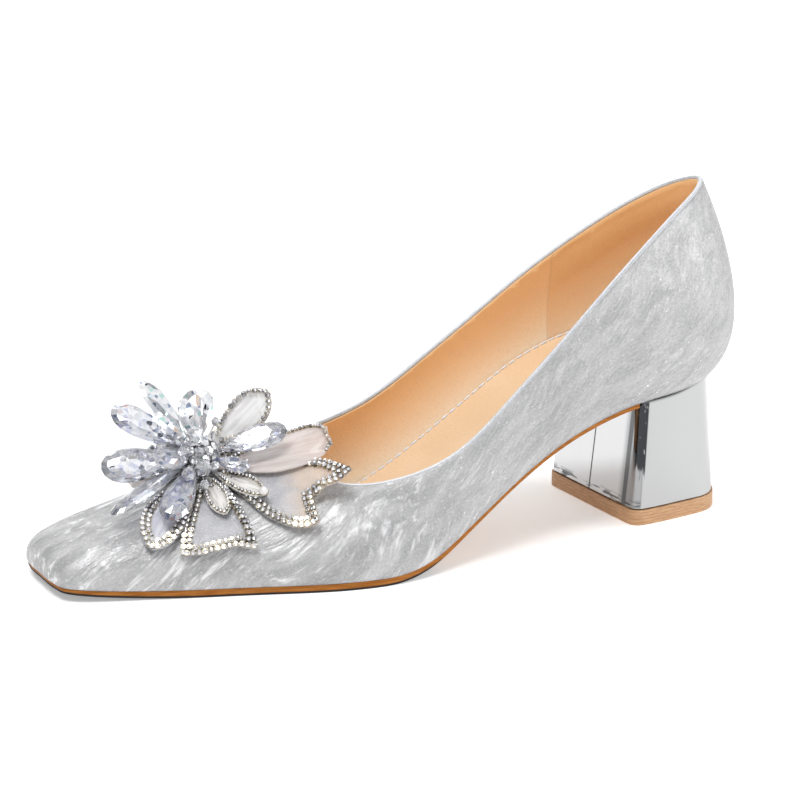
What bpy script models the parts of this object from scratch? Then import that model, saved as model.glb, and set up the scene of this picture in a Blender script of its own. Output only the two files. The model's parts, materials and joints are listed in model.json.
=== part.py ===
"""Left block heel pump with a crystal flower on the vamp.

The toe points along -X, the outer side of the foot is -Y and +Z is up. Tables are in millimetres:
x is counted from the toe tip, y is positive towards the inner side of the foot, z from the floor.
"""

from collections import namedtuple

import bmesh
import bpy
import numpy as np
from mathutils import Matrix, Vector
from mathutils.bvhtree import BVHTree

MM = 0.001
LENGTH = 240.0
ORIGIN_X = 120.8
ORIGIN_Y = -1.1
WALL = 1.8
GAP = 0.3
SOLE_INSET = 0.5
INSOLE_INSET = 2.4
INSOLE_CLEARANCE = 0.6
TIP_THICK = 5.0
TIP_PROUD = 0.5

RIB_STEPS = 4
WALL_STEPS = 10
SHEET_STEPS = 3
HEEL_LEVELS = 4

# One rib of the upper. Its foot stands on the feather edge and leaves it by swell outwards and rise up.
# Its top lies on the ridge of the vamp or on the topline, and is reached from reach outside and drop below.
Rib = namedtuple("Rib", "name foot_x foot_y swell rise top_x top_y top_z reach drop")

THROAT_ROW = 5
OUTER_RIBS = [
    Rib("toe_centre", 2.0, 7.0, 1.3, 10.0, 20.0, 7.0, 17.5, 14.0, 0.0),
    Rib("toe_front", 2.3, -4.0, 1.3, 10.0, 23.0, 7.0, 18.5, 15.0, 0.0),
    Rib("toe_corner", 6.0, -11.5, 1.3, 10.0, 30.0, 6.5, 21.0, 15.0, 0.0),
    Rib("toe_side", 26.0, -19.0, 1.5, 11.0, 46.0, 6.0, 25.8, 16.0, 0.0),
    Rib("small_toe", 54.0, -28.5, 2.0, 13.0, 63.0, 5.5, 30.5, 20.0, 0.0),
    Rib("ball", 82.0, -38.2, 2.0, 14.0, 80.0, 5.0, 35.0, 22.0, 0.0),
    Rib("joint_back", 104.0, -40.0, 2.0, 13.0, 90.0, -22.5, 28.0, 10.0, 4.5),
    Rib("waist_front", 128.0, -34.0, 2.5, 9.0, 121.0, -30.5, 33.5, 3.0, 6.0),
    Rib("waist", 154.0, -28.5, 3.0, 10.0, 150.0, -30.0, 55.5, 1.5, 10.0),
    Rib("heel_front", 182.0, -26.0, 4.0, 12.0, 180.0, -27.0, 81.0, 2.5, 16.0),
    Rib("heel_side", 208.0, -23.5, 7.0, 12.0, 206.0, -18.5, 97.5, 6.0, 24.0),
    Rib("heel_corner", 224.5, -14.0, 12.0, 10.0, 221.5, -9.5, 104.0, 11.0, 28.0),
    Rib("heel_back", 231.0, 1.5, 13.5, 10.0, 228.5, 1.5, 105.5, 13.5, 28.0),
]
INNER_RIBS = [
    OUTER_RIBS[0],
    Rib("toe_front", 2.4, 18.0, 1.3, 10.0, 23.0, 7.0, 18.5, 15.0, 0.0),
    Rib("toe_corner", 6.5, 25.3, 1.3, 10.0, 30.0, 6.5, 21.0, 15.0, 0.0),
    Rib("toe_side", 26.0, 30.5, 1.5, 11.0, 46.0, 6.0, 25.8, 16.0, 0.0),
    Rib("big_toe", 50.0, 35.5, 2.0, 15.0, 63.0, 5.5, 30.5, 20.0, 0.0),
    Rib("ball", 74.0, 38.0, 2.0, 16.0, 80.0, 5.0, 35.0, 22.0, 0.0),
    Rib("joint_back", 98.0, 34.5, 2.0, 14.0, 91.0, 21.5, 32.0, 8.0, 4.0),
    Rib("waist_front", 126.0, 25.5, 3.0, 12.0, 121.0, 27.0, 38.0, 3.0, 6.0),
    Rib("waist", 155.0, 22.0, 5.0, 12.0, 150.0, 27.0, 55.5, 1.5, 10.0),
    Rib("heel_front", 184.0, 25.0, 4.0, 12.0, 180.0, 26.0, 75.5, 2.5, 16.0),
    Rib("heel_side", 208.0, 24.5, 7.0, 12.0, 206.0, 21.5, 91.5, 6.0, 24.0),
    Rib("heel_corner", 224.5, 16.0, 12.0, 10.0, 222.0, 13.5, 101.0, 11.0, 28.0),
    OUTER_RIBS[-1],
]

# Sections along the shoe: height of the feather edge over the floor, thickness of the sole under it, and
# how far the insole stands over it, in the middle and at its cupped edge.
Seat = namedtuple("Seat", "x feather sole pad cup")
SEATS = [
    Seat(0.0, 4.8, 1.5, 2.2, 2.4),
    Seat(20.0, 3.3, 2.0, 2.2, 2.4),
    Seat(45.0, 2.7, 2.4, 2.2, 2.4),
    Seat(98.0, 2.7, 2.4, 2.2, 2.6),
    Seat(106.0, 3.6, 2.2, 2.3, 2.8),
    Seat(115.0, 6.2, 2.0, 2.4, 3.2),
    Seat(128.0, 13.0, 1.6, 2.8, 4.4),
    Seat(148.0, 24.6, 1.4, 3.6, 6.4),
    Seat(168.0, 34.5, 1.4, 4.4, 8.6),
    Seat(191.0, 41.0, 1.4, 5.0, 10.5),
    Seat(207.0, 42.6, 1.4, 5.0, 11.0),
    Seat(223.0, 43.6, 1.4, 5.0, 11.0),
    Seat(240.0, 44.2, 1.4, 5.0, 11.0),
]

# The heel block round from its inner to its outer breast corner, at the seat and at the tip.
HeelPoint = namedtuple("HeelPoint", "name seat_x seat_y tip_x tip_y")
HEEL_CORNER = 4.5
HEEL_OUTLINE = [
    HeelPoint("breast_outer", 192.5, -25.3, 191.2, -24.8),
    HeelPoint("side_outer", 208.0, -23.2, 208.0, -22.9),
    HeelPoint("corner_outer", 223.5, -13.8, 224.0, -18.0),
    HeelPoint("back", 230.0, 1.5, 230.5, 1.5),
    HeelPoint("corner_inner", 223.5, 15.8, 223.5, 21.0),
    HeelPoint("side_inner", 208.0, 24.2, 207.0, 26.0),
    HeelPoint("breast_inner", 191.0, 24.8, 188.7, 27.0),
]

# The flower stands on the vamp over its foot. Headings turn round its stem: 0 degrees points to the heel
# and 90 to the inner side. Drops and the curled petal stand out of the heart, at a pitch over the vamp and
# with a roll round their length.
FLOWER_X = 55.0
FLOWER_Y = 3.0
STEM_RADIUS = 4.0
HEART_RADIUS = 5.5
HEART_HEIGHT = 8.0
ROOT_RADIUS = 4.7
RUN_ON = 18.0
LEAF_LAYER = 0.5
LEAF_LIFT = 1.4
LEAF_SPAN = 36.0
PETAL_LAYER = 1.8
CLOTH = 0.8

Drop = namedtuple("Drop", "name heading pitch roll reach width depth")
DROPS = [
    Drop("drop_top", -62.0, 84.0, 0.0, 22.0, 13.0, 6.5),
    Drop("drop_rear_outer", -24.0, 4.0, 35.0, 28.0, 11.0, 6.0),
    Drop("drop_small", -52.0, -15.0, 20.0, 17.0, 7.0, 4.5),
    Drop("drop_rear_inner", 60.0, 26.0, 0.0, 25.0, 12.0, 6.0),
    Drop("drop_inner", 100.0, 12.0, 0.0, 25.0, 12.0, 6.0),
    Drop("drop_front_inner", 108.0, 48.0, 20.0, 29.0, 11.0, 5.5),
    Drop("drop_front_high", 148.0, 41.0, -25.0, 30.0, 13.0, 6.0),
    Drop("drop_front_upper", 186.0, 60.0, 0.0, 21.0, 11.0, 6.0),
    Drop("drop_front", 176.0, 13.0, -45.0, 31.0, 14.0, 6.5),
    Drop("drop_front_low", 194.0, -5.0, 0.0, 35.0, 10.0, 4.5),
    Drop("drop_front_outer", 225.0, -11.0, -20.0, 30.0, 12.0, 5.0),
    Drop("drop_outer", 214.0, 24.0, -35.0, 22.0, 11.0, 6.0),
]

# Petals and small leaves follow the vamp and stand off it by lift at the tip. Past the throat they run on.
Petal = namedtuple("Petal", "name heading reach width lift")
PETALS = [
    Petal("petal_rear_outer", -23.0, 40.0, 17.5, 4.8),
    Petal("petal_front_outer", 214.0, 34.5, 13.0, 0.0),
    Petal("petal_front_inner", 118.0, 30.0, 14.0, 0.0),
    Petal("petal_rear_inner", 44.0, 28.0, 14.0, 4.0),
    Petal("small_leaf_rear", -65.0, 24.0, 7.0, 1.5),
    Petal("small_leaf_front", 260.0, 22.0, 7.0, 1.0),
]
CURLED_PETAL = Drop("petal_curled", 12.0, 10.0, 45.0, 30.0, 12.0, 0.8)
CURL_TURN = 45.0

# Rim of the outer leaves as heading and reach round the stem. The inner leaves mirror them, smaller.
INNER_LEAF_SHARE = 0.66
Rim = namedtuple("Rim", "heading reach")
LEAVES = {
    "leaf_front": [
        Rim(226.0, 12.0), Rim(229.0, 32.5), Rim(249.0, 29.5), Rim(261.0, 29.5), Rim(271.0, 32.0),
        Rim(272.5, 21.0), Rim(274.0, 10.0),
    ],
    "leaf_rear": [
        Rim(-76.0, 10.0), Rim(-75.0, 27.0), Rim(-69.0, 35.0), Rim(-61.0, 41.0), Rim(-52.0, 36.0),
        Rim(-48.0, 40.0), Rim(-42.0, 48.0), Rim(-33.0, 36.0), Rim(-24.0, 24.0), Rim(-18.0, 10.0),
    ],
}


def hermite(knots, values, at, closed=False, level=False):
    """Smooth curve through the values at the knots, read at the given places. Level runs stay level."""
    knots = np.asarray(knots, float)
    values = np.asarray(values, float)
    if closed:
        span = knots[-1] - knots[0]
        knots = np.concatenate([[knots[-2] - span], knots, [knots[1] + span]])
        values = np.concatenate([[values[-2]], values, [values[1]]])
    steps = np.diff(knots)
    slopes = np.diff(values) / steps
    tangents = np.empty_like(values)
    tangents[1:-1] = (slopes[:-1] * steps[1:] + slopes[1:] * steps[:-1]) / (steps[1:] + steps[:-1])
    tangents[0], tangents[-1] = slopes[0], slopes[-1]
    if level:
        tangents[1:-1][slopes[:-1] * slopes[1:] <= 0] = 0.0
    at = np.asarray(at, float)
    cell = np.clip(np.searchsorted(knots, at, side="right") - 1, 0, len(steps) - 1)
    width = steps[cell]
    t = (at - knots[cell]) / width
    return (
        values[cell] * (1 + 2 * t) * (1 - t) ** 2
        + tangents[cell] * width * t * (1 - t) ** 2
        + values[cell + 1] * t * t * (3 - 2 * t)
        + tangents[cell + 1] * width * t * t * (t - 1)
    )


def seat(name, x):
    """A column of the sections along the shoe, at the given places."""
    return hermite([s.x for s in SEATS], [getattr(s, name) for s in SEATS], x, level=True)


# The ribs once round the shoe: toe, outer side, heel, inner side and the toe again.
LOOP = OUTER_RIBS + INNER_RIBS[-2::-1]
LAST = len(LOOP) - 1
PLACES = np.arange(LAST * RIB_STEPS) / RIB_STEPS
FOLDED = np.minimum(PLACES, LAST - PLACES)


def column(name, at):
    return hermite(range(LAST + 1), [getattr(rib, name) for rib in LOOP], at % LAST, closed=True)


def foot_outline(inset=0.0):
    """Plan of the feather edge, moved inwards by the inset, and its outward directions."""
    plan = np.stack([column("foot_x", PLACES), column("foot_y", PLACES)], 1)
    step = 0.01
    ahead = np.stack([column("foot_x", PLACES + step), column("foot_y", PLACES + step)], 1)
    behind = np.stack([column("foot_x", PLACES - step), column("foot_y", PLACES - step)], 1)
    run = ahead - behind
    outward = np.stack([run[:, 1], -run[:, 0]], 1) / np.linalg.norm(run, axis=1)[:, None]
    return plan - outward * inset, outward


def ridge(name, at):
    """A column of the vamp's ridge, which both sides share from the toe to the throat."""
    rows = OUTER_RIBS[: THROAT_ROW + 1]
    return hermite(range(THROAT_ROW + 1), [getattr(r, name) for r in rows], np.clip(at, 0, THROAT_ROW))


def topline(name, at):
    """A column of the topline, from the throat round the heel and back to the throat."""
    rows = LOOP[THROAT_ROW : LAST - THROAT_ROW + 1]
    knots = np.arange(len(rows)) + THROAT_ROW
    return hermite(knots, [getattr(r, name) for r in rows], np.clip(at, knots[0], knots[-1]), closed=True)


def upper_grid():
    """Points on the outside of the upper: one row for each rib, from the feather edge to the top."""
    plan, outward = foot_outline()
    foot = np.column_stack([plan, seat("feather", plan[:, 0])])
    outward = np.column_stack([outward, np.zeros(len(outward))])
    up = np.array([0.0, 0.0, 1.0])
    on_ridge = (FOLDED <= THROAT_ROW)[:, None]
    names = ("top_x", "top_y", "top_z")
    top = np.where(
        on_ridge,
        np.stack([ridge(n, FOLDED) for n in names], 1),
        np.stack([topline(n, PLACES) for n in names], 1),
    )
    step = 0.01
    climb = ridge("top_z", FOLDED + step) - ridge("top_z", FOLDED - step)
    advance = ridge("top_x", FOLDED + step) - ridge("top_x", FOLDED - step)
    slope = np.where(FOLDED < THROAT_ROW, climb / np.maximum(advance, step * step), 0.0)[:, None]
    swell, rise, reach, drop = (column(n, PLACES)[:, None] for n in ("swell", "rise", "reach", "drop"))
    low = foot + outward * swell + up * rise
    high = top + outward * reach + up * (outward[:, :1] * reach * slope - drop)
    v = np.linspace(0, 1, WALL_STEPS + 1)[None, :, None]
    return (
        foot[:, None] * (1 - v) ** 3
        + low[:, None] * 3 * v * (1 - v) ** 2
        + high[:, None] * 3 * v * v * (1 - v)
        + top[:, None] * v**3
    )


def from_spine(edge):
    """Plan of a sheet: each row runs from a spine that both sides share to its point of the edge."""
    mirrored = edge[(-np.arange(len(edge))) % len(edge)]
    spine = (edge + mirrored) / 2
    toe_pole, heel_pole = 16.0, 212.0
    toe_row, heel_row = 0, len(edge) // 2
    spine[spine[:, 0] <= toe_pole] = toe_pole, edge[toe_row, 1]
    spine[spine[:, 0] >= heel_pole] = heel_pole, edge[heel_row, 1]
    v = np.linspace(0, 1, SHEET_STEPS + 1)[None, :, None]
    return spine[:, None] * (1 - v) + edge[:, None] * v


def on_seat(plan, lift):
    """Stands the points of a plan over the feather edge by the lift."""
    return np.concatenate([plan, (seat("feather", plan[..., 0]) + lift)[..., None]], 2)


def place(points):
    """From table millimetres to the part's frame, in metres."""
    return (np.asarray(points, float) - np.array([ORIGIN_X, ORIGIN_Y, 0.0])) * MM


def lofted(grid):
    """Quads between the rows of a grid, whose last row joins its first."""
    made = bmesh.new()
    verts = [[made.verts.new(p) for p in row] for row in place(grid)]
    for row, following in zip(verts, verts[1:] + verts[:1]):
        for j in range(len(row) - 1):
            made.faces.new((row[j], following[j], following[j + 1], row[j + 1]))
    merge = 0.05 * MM
    bmesh.ops.remove_doubles(made, verts=made.verts, dist=merge)
    bmesh.ops.dissolve_degenerate(made, edges=made.edges, dist=merge)
    return made


def thicken(made, lift):
    """Closes a sheet into a slab, with its second side moved by lift at each place along the shoe."""
    grown = bmesh.ops.extrude_face_region(made, geom=made.faces[:])["geom"]
    for vert in grown:
        if isinstance(vert, bmesh.types.BMVert):
            vert.co.z += lift(vert.co.x / MM + ORIGIN_X) * MM


def finish(name, made, colour, roughness, metallic=0.0, closed=True):
    """Makes the object with its own material, and turns the faces of a closed mesh outwards."""
    if closed:
        bmesh.ops.recalc_face_normals(made, faces=made.faces)
    mesh = bpy.data.meshes.new(name)
    made.to_mesh(mesh)
    made.free()
    mesh.shade_smooth()
    mesh.set_sharp_from_angle(angle=np.radians(40))
    material = bpy.data.materials.new(name)
    material.use_nodes = True
    shader = material.node_tree.nodes["Principled BSDF"]
    shader.inputs["Base Color"].default_value = (*colour, 1.0)
    shader.inputs["Roughness"].default_value = roughness
    shader.inputs["Metallic"].default_value = metallic
    mesh.materials.append(material)
    part = bpy.data.objects.new(name, mesh)
    shoe.objects.link(part)
    return part


def make_upper():
    made = lofted(upper_grid())
    upper = finish("upper", made, (0.62, 0.62, 0.63), 0.45, 0.3)
    shell = upper.modifiers.new("wall", "SOLIDIFY")
    shell.thickness = WALL * MM
    shell.offset = -1.0


def make_outsole():
    """The sole ends before the breast of the heel, on the line between the breast corners."""
    made = lofted(on_seat(from_spine(foot_outline(SOLE_INSET)[0]), -GAP))
    outer, inner = HEEL_OUTLINE[0], HEEL_OUTLINE[-1]
    towards_heel = np.array([inner.seat_y - outer.seat_y, outer.seat_x - inner.seat_x, 0.0])
    towards_heel /= np.linalg.norm(towards_heel)
    cut = place(np.array([outer.seat_x, outer.seat_y, 0.0]) - towards_heel * GAP)
    geometry = made.verts[:] + made.edges[:] + made.faces[:]
    bmesh.ops.bisect_plane(made, geom=geometry, plane_co=cut, plane_no=towards_heel, clear_outer=True)
    thicken(made, lambda x: -seat("sole", x))
    finish("outsole", made, (0.48, 0.24, 0.10), 0.5)


def inside_wall(height):
    """Plan of the upper's inner face, a clearance in from it, at each rib's height over its foot."""
    grid = upper_grid()[:, : WALL_STEPS // 2 + 1]
    along = np.roll(grid, -1, axis=0) - np.roll(grid, 1, axis=0)
    upwards = np.gradient(grid, axis=1)
    normal = np.cross(along, upwards)
    normal /= np.linalg.norm(normal, axis=2)[..., None]
    inner = grid - normal * (WALL + INSOLE_CLEARANCE)
    plan = np.empty((len(grid), 2))
    for row, points in enumerate(inner):
        over_foot = points[:, 2] - grid[row, 0, 2]
        plan[row] = [np.interp(height[row], over_foot, points[:, axis]) for axis in (0, 1)]
    return plan


def make_insole():
    """A padded sock on the feather edge, whose edge is cupped up against the wall."""
    base = from_spine(foot_outline(INSOLE_INSET)[0])
    cup = seat("cup", base[:, -1, 0])
    top = from_spine(inside_wall(cup))
    share = np.linspace(0, 1, SHEET_STEPS + 1) ** 2
    pad = seat("pad", top[..., 0])
    lift = pad + (cup[:, None] - pad) * share
    rows = np.concatenate([on_seat(base, 0.0), on_seat(top, lift)[:, ::-1]], 1)
    finish("insole", lofted(rows), (0.80, 0.52, 0.32), 0.6)


def heel_ring(level, proud=0.0):
    """Plan of the heel block at a level from its tip, 0, to its seat, 1, with rounded breast corners."""
    at_seat = np.array([[p.seat_x, p.seat_y] for p in HEEL_OUTLINE])
    at_tip = np.array([[p.tip_x, p.tip_y] for p in HEEL_OUTLINE])
    points = at_tip * (1 - level) + at_seat * level
    knots = np.arange(len(points))
    first, last = np.linalg.norm(points[1] - points[0]), np.linalg.norm(points[-1] - points[-2])
    side_steps, corner_steps, breast_steps = 24, 5, 4
    at = np.linspace(HEEL_CORNER / first, knots[-1] - HEEL_CORNER / last, side_steps + 1)
    side = np.stack([hermite(knots, points[:, axis], at) for axis in (0, 1)], 1)
    breast = (points[0] - points[-1]) / np.linalg.norm(points[0] - points[-1])
    inner_end, outer_end = points[-1] + breast * HEEL_CORNER, points[0] - breast * HEEL_CORNER
    t = np.linspace(0, 1, corner_steps + 1)[1:-1, None]

    def rounded(start, corner, end):
        return start * (1 - t) ** 2 + corner * 2 * t * (1 - t) + end * t * t

    front = inner_end + (outer_end - inner_end) * np.linspace(0, 1, breast_steps + 1)[:, None]
    ring = np.concatenate([
        side, rounded(side[-1], points[-1], inner_end), front, rounded(outer_end, points[0], side[0]),
    ])
    run = np.roll(ring, -1, axis=0) - np.roll(ring, 1, axis=0)
    outward = np.stack([run[:, 1], -run[:, 0]], 1) / np.linalg.norm(run, axis=1)[:, None]
    return ring + outward * proud


def make_heel():
    """Loft from the tip to the seat, closed by a flat foot and by a seat that follows the feather edge."""
    seat_plan = heel_ring(1.0)
    middle = seat_plan.mean(axis=0)
    rows = []
    for closer in (0.0, 0.5):
        plan = middle + (seat_plan - middle) * closer
        rows.append(np.column_stack([plan, seat("feather", plan[:, 0]) - GAP]))
    for level in np.linspace(1, 0, HEEL_LEVELS + 1):
        height = (TIP_THICK + GAP) * (1 - level) + (seat("feather", seat_plan[:, 0]) - GAP) * level
        rows.append(np.column_stack([heel_ring(level), height]))
    foot = rows[-1]
    rows.append(np.broadcast_to(foot.mean(axis=0), foot.shape))
    finish("heel", lofted(np.stack(rows, 1)), (0.75, 0.76, 0.77), 0.08, 1.0)


def make_heel_tip():
    plan = heel_ring(0.0, TIP_PROUD)
    heights = (TIP_THICK, TIP_THICK, 0.0, 0.0)
    closers = (0.0, 1.0, 1.0, 0.0)
    middle = plan.mean(axis=0)
    rows = [
        np.column_stack([middle + (plan - middle) * closer, np.full(len(plan), height)])
        for height, closer in zip(heights, closers)
    ]
    finish("heel_tip", lofted(np.stack(rows, 1)), (0.62, 0.33, 0.15), 0.6)


def vamp_surface():
    """The outside of the upper, to lay the flower on."""
    made = lofted(upper_grid())
    bmesh.ops.recalc_face_normals(made, faces=made.faces)
    made.normal_update()
    surface = BVHTree.FromBMesh(made)
    made.free()
    return surface


def flower_frame():
    """Axes of the flower on the vamp: towards the heel, towards the inner side and off the leather."""
    above = Vector(place([FLOWER_X, FLOWER_Y, LENGTH]))
    foot, off, _, _ = VAMP.ray_cast(above, Vector((0, 0, -1)))
    to_heel = (Vector((1, 0, 0)) - off * off.x).normalized()
    frame = Matrix((to_heel, off.cross(to_heel), off)).transposed().to_4x4()
    frame.translation = foot
    return frame


def polar(heading, reach):
    """Plan of the flower, in millimetres from its stem."""
    turn = np.radians(heading)
    return np.stack([reach * np.cos(turn), reach * np.sin(turn)], -1)


def drape(plan, layer, lift):
    """Lays the rows of a plan a layer off the vamp, with a lift over it. Past the throat they run on."""
    up = FLOWER.col[2].to_3d()
    to_flower = FLOWER.inverted()
    rows = np.empty((*plan.shape[:2], 3))
    for i, row in enumerate(plan):
        level = []
        for j, (to_heel, inwards) in enumerate(row * MM):
            foot, off, _, _ = VAMP.ray_cast(FLOWER @ Vector((to_heel, inwards, LENGTH * MM)), -up)
            if foot is None or to_heel > RUN_ON * MM:
                level.append(2 * level[-1] - level[-2])
                foot, off = FLOWER @ Vector((to_heel, inwards, level[-1])), up
            else:
                level.append((to_flower @ foot).z)
            rows[i, j] = foot + (off * layer + up * float(lift[i, j])) * MM
    return rows


def cloth_part(name, points, colour):
    """A sheet of cloth through a grid of points in the part's frame, with its thickness on the far side."""
    made = bmesh.new()
    verts = [[made.verts.new(p) for p in row] for row in points]
    for row, following in zip(verts, verts[1:]):
        for j in range(len(row) - 1):
            made.faces.new((row[j], following[j], following[j + 1], row[j + 1]))
    bmesh.ops.recalc_face_normals(made, faces=made.faces)
    made.normal_update()
    off = FLOWER.col[2].to_3d()
    if sum((face.normal for face in made.faces), Vector()).dot(off) < 0:
        bmesh.ops.reverse_faces(made, faces=made.faces)
    sheet = finish(name, made, colour, 0.35, closed=False)
    thickness = sheet.modifiers.new("cloth", "SOLIDIFY")
    thickness.thickness = CLOTH * MM
    thickness.offset = 1.0


def make_leaves():
    """Fans with pointed corners, sewn flat on the vamp under the other parts of the flower."""
    for side, sign, size in (("outer", 1, 1.0), ("inner", -1, INNER_LEAF_SHARE)):
        for name, rims in LEAVES.items():
            knots = np.arange(len(rims))
            at = np.linspace(0, knots[-1], 2 * knots[-1] + 1)
            heading = np.interp(at, knots, [sign * rim.heading for rim in rims])
            reach = np.interp(at, knots, [size * rim.reach for rim in rims])
            share = np.linspace(0, 1, 7)
            out = ROOT_RADIUS + (reach[:, None] - ROOT_RADIUS) * share
            plan = polar(heading[:, None] + np.zeros_like(out), out)
            points = drape(plan, LEAF_LAYER, LEAF_LIFT * (out / LEAF_SPAN) ** 4)
            cloth_part(f"{name}_{side}", points, (0.80, 0.80, 0.84))


def petal_outline(along):
    """Share of a petal's half width from its root, 0, to its tip, 1: an oval, fuller near the tip."""
    fullness, narrowest = 1.4, 0.15
    return np.maximum(np.sqrt(np.clip(np.sin(np.pi * along**fullness), 0, 1)), narrowest)


def make_petals():
    """Ovals that follow the vamp over the leaves."""
    along, across = np.meshgrid(np.linspace(0, 1, 13), np.linspace(-1, 1, 7))
    half = petal_outline(along)
    for petal in PETALS:
        out = ROOT_RADIUS + (petal.reach - ROOT_RADIUS) * along
        aside = across * half * petal.width / 2
        turn = np.radians(petal.heading)
        plan = np.stack([
            out * np.cos(turn) - aside * np.sin(turn),
            out * np.sin(turn) + aside * np.cos(turn),
        ], -1)
        points = drape(plan, PETAL_LAYER, petal.lift * along**2)
        cloth_part(petal.name, points, (0.84, 0.82, 0.82))


def stand(drop):
    """Frame of a piece that stands out of the heart: its third axis runs outwards, and it rolls on it."""
    heading, pitch, roll = np.radians([drop.heading, drop.pitch, drop.roll])
    outwards = Vector((
        np.cos(pitch) * np.cos(heading), np.cos(pitch) * np.sin(heading), np.sin(pitch),
    ))
    level = Vector((-np.sin(heading), np.cos(heading), 0.0))
    frame = Matrix((level.cross(outwards), level, outwards)).transposed().to_4x4()
    heart = Matrix.Translation((0, 0, HEART_HEIGHT * MM))
    return FLOWER @ heart @ frame @ Matrix.Rotation(roll, 4, "Z")


def make_curled_petal():
    """An oval that stands out of the heart and curls upwards at its tip."""
    petal = CURLED_PETAL
    along, across = np.meshgrid(np.linspace(0, 1, 11), np.linspace(-1, 1, 7))
    half = petal_outline(along)
    start = HEART_RADIUS + 2 * GAP
    radius = (petal.reach - start) / np.radians(CURL_TURN)
    turn = np.radians(CURL_TURN) * along
    points = np.stack([
        -radius * (1 - np.cos(turn)), across * half * petal.width / 2, start + radius * np.sin(turn),
    ], -1)
    frame = stand(petal)
    placed = [[frame @ Vector(point * MM) for point in row] for row in points]
    cloth_part(petal.name, placed, (0.84, 0.82, 0.82))


def make_drops():
    """Faceted crystal drops, each narrow at the heart and widest towards its tip."""
    facets_round, facets_along = 8, 6
    root_width, tip_width = 0.45, 1.1
    for drop in DROPS:
        made = bmesh.new()
        bmesh.ops.create_uvsphere(made, u_segments=facets_round, v_segments=facets_along, radius=0.5)
        start = HEART_RADIUS + 2 * GAP
        for vert in made.verts:
            out = vert.co.z + 0.5
            swell = root_width * (1 - out) + tip_width * out
            vert.co.x *= swell * drop.depth * MM
            vert.co.y *= swell * drop.width * MM
            vert.co.z = (start + (drop.reach - start) * out) * MM
        crystal = finish(drop.name, made, (0.86, 0.89, 0.95), 0.05)
        crystal.matrix_world = stand(drop)


def make_heart():
    """A turned ball of small stones on a short stem that is sewn to the vamp."""
    bottom = LEAF_LAYER
    turns = np.radians([90.0, 60.0, 30.0, 0.0, -30.0])
    profile = [(HEART_RADIUS * np.cos(t), HEART_HEIGHT + HEART_RADIUS * np.sin(t)) for t in turns]
    profile += [(STEM_RADIUS, HEART_HEIGHT - HEART_RADIUS * 0.75), (STEM_RADIUS, bottom), (0.0, bottom)]
    made = bmesh.new()
    verts = [made.verts.new((radius * MM, 0.0, height * MM)) for radius, height in profile]
    for first, second in zip(verts, verts[1:]):
        made.edges.new((first, second))
    heart = finish("flower_heart", made, (0.80, 0.80, 0.82), 0.2, 0.5, closed=False)
    turned = heart.modifiers.new("turned", "SCREW")
    turned.steps = turned.render_steps = 16
    turned.use_merge_vertices = True
    turned.merge_threshold = 0.01 * MM
    heart.matrix_world = FLOWER


for old in list(bpy.data.objects):
    bpy.data.objects.remove(old)
shoe = bpy.data.collections.new("block_heel_shoe")
bpy.context.scene.collection.children.link(shoe)

make_upper()
make_outsole()
make_insole()
make_heel()
make_heel_tip()

VAMP = vamp_surface()
FLOWER = flower_frame()
make_leaves()
make_petals()
make_heart()
make_drops()
make_curled_petal()
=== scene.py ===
import json
import math

import bmesh
import bpy
import numpy as np
from mathutils import Matrix, Vector
from mathutils.bvhtree import BVHTree


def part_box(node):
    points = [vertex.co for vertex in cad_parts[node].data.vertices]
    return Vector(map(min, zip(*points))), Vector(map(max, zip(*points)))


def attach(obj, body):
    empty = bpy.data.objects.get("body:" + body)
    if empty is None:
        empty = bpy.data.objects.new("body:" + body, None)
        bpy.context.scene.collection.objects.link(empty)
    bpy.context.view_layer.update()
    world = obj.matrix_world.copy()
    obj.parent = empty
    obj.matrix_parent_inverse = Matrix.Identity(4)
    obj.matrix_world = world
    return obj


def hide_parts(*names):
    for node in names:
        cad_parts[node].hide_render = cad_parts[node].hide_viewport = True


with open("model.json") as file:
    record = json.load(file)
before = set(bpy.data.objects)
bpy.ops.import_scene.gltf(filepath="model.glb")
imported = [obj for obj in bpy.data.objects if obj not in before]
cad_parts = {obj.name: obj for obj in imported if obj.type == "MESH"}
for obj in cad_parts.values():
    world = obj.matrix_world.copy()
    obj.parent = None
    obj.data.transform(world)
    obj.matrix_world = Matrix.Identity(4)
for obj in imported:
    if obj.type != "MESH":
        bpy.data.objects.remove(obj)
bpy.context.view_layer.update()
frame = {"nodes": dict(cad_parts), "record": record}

nodes = frame["nodes"]

# Upper
# Silver glitter fabric, lasted over the form of the foot and turned under at the feather edge.
# Its outside is smoothed from the frame's solid, and the wall grows inwards from it.

MM = 0.001
MERGE = 0.001 * MM
SHARP, OFF_SQUARE = math.radians(40), math.radians(60)
UPPER_WALL = 1.5 * MM
OUTER_SIDE = Vector((0.0, -1.0, 0.03))
CALM_ALONG = (-60 * MM, 40 * MM)
STEEP_ALONG, STEEP_BEFORE, STEEP_ABOVE = (-50 * MM, -20 * MM), (70 * MM, 40 * MM), (55 * MM, 70 * MM)
SHALLOW, STEEP = (0, math.radians(-31), 0), (0, math.radians(-56), 0)
STROKE, WISP, BAND, PATCH = 2.6 * MM, 0.8 * MM, 4.0 * MM, 24 * MM
THREAD, FLAKE = 0.36 * MM, 0.45 * MM
DRIFT, DRIFT_WAVES = (12 * MM, 12 * MM, 12 * MM), 30.0


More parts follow.
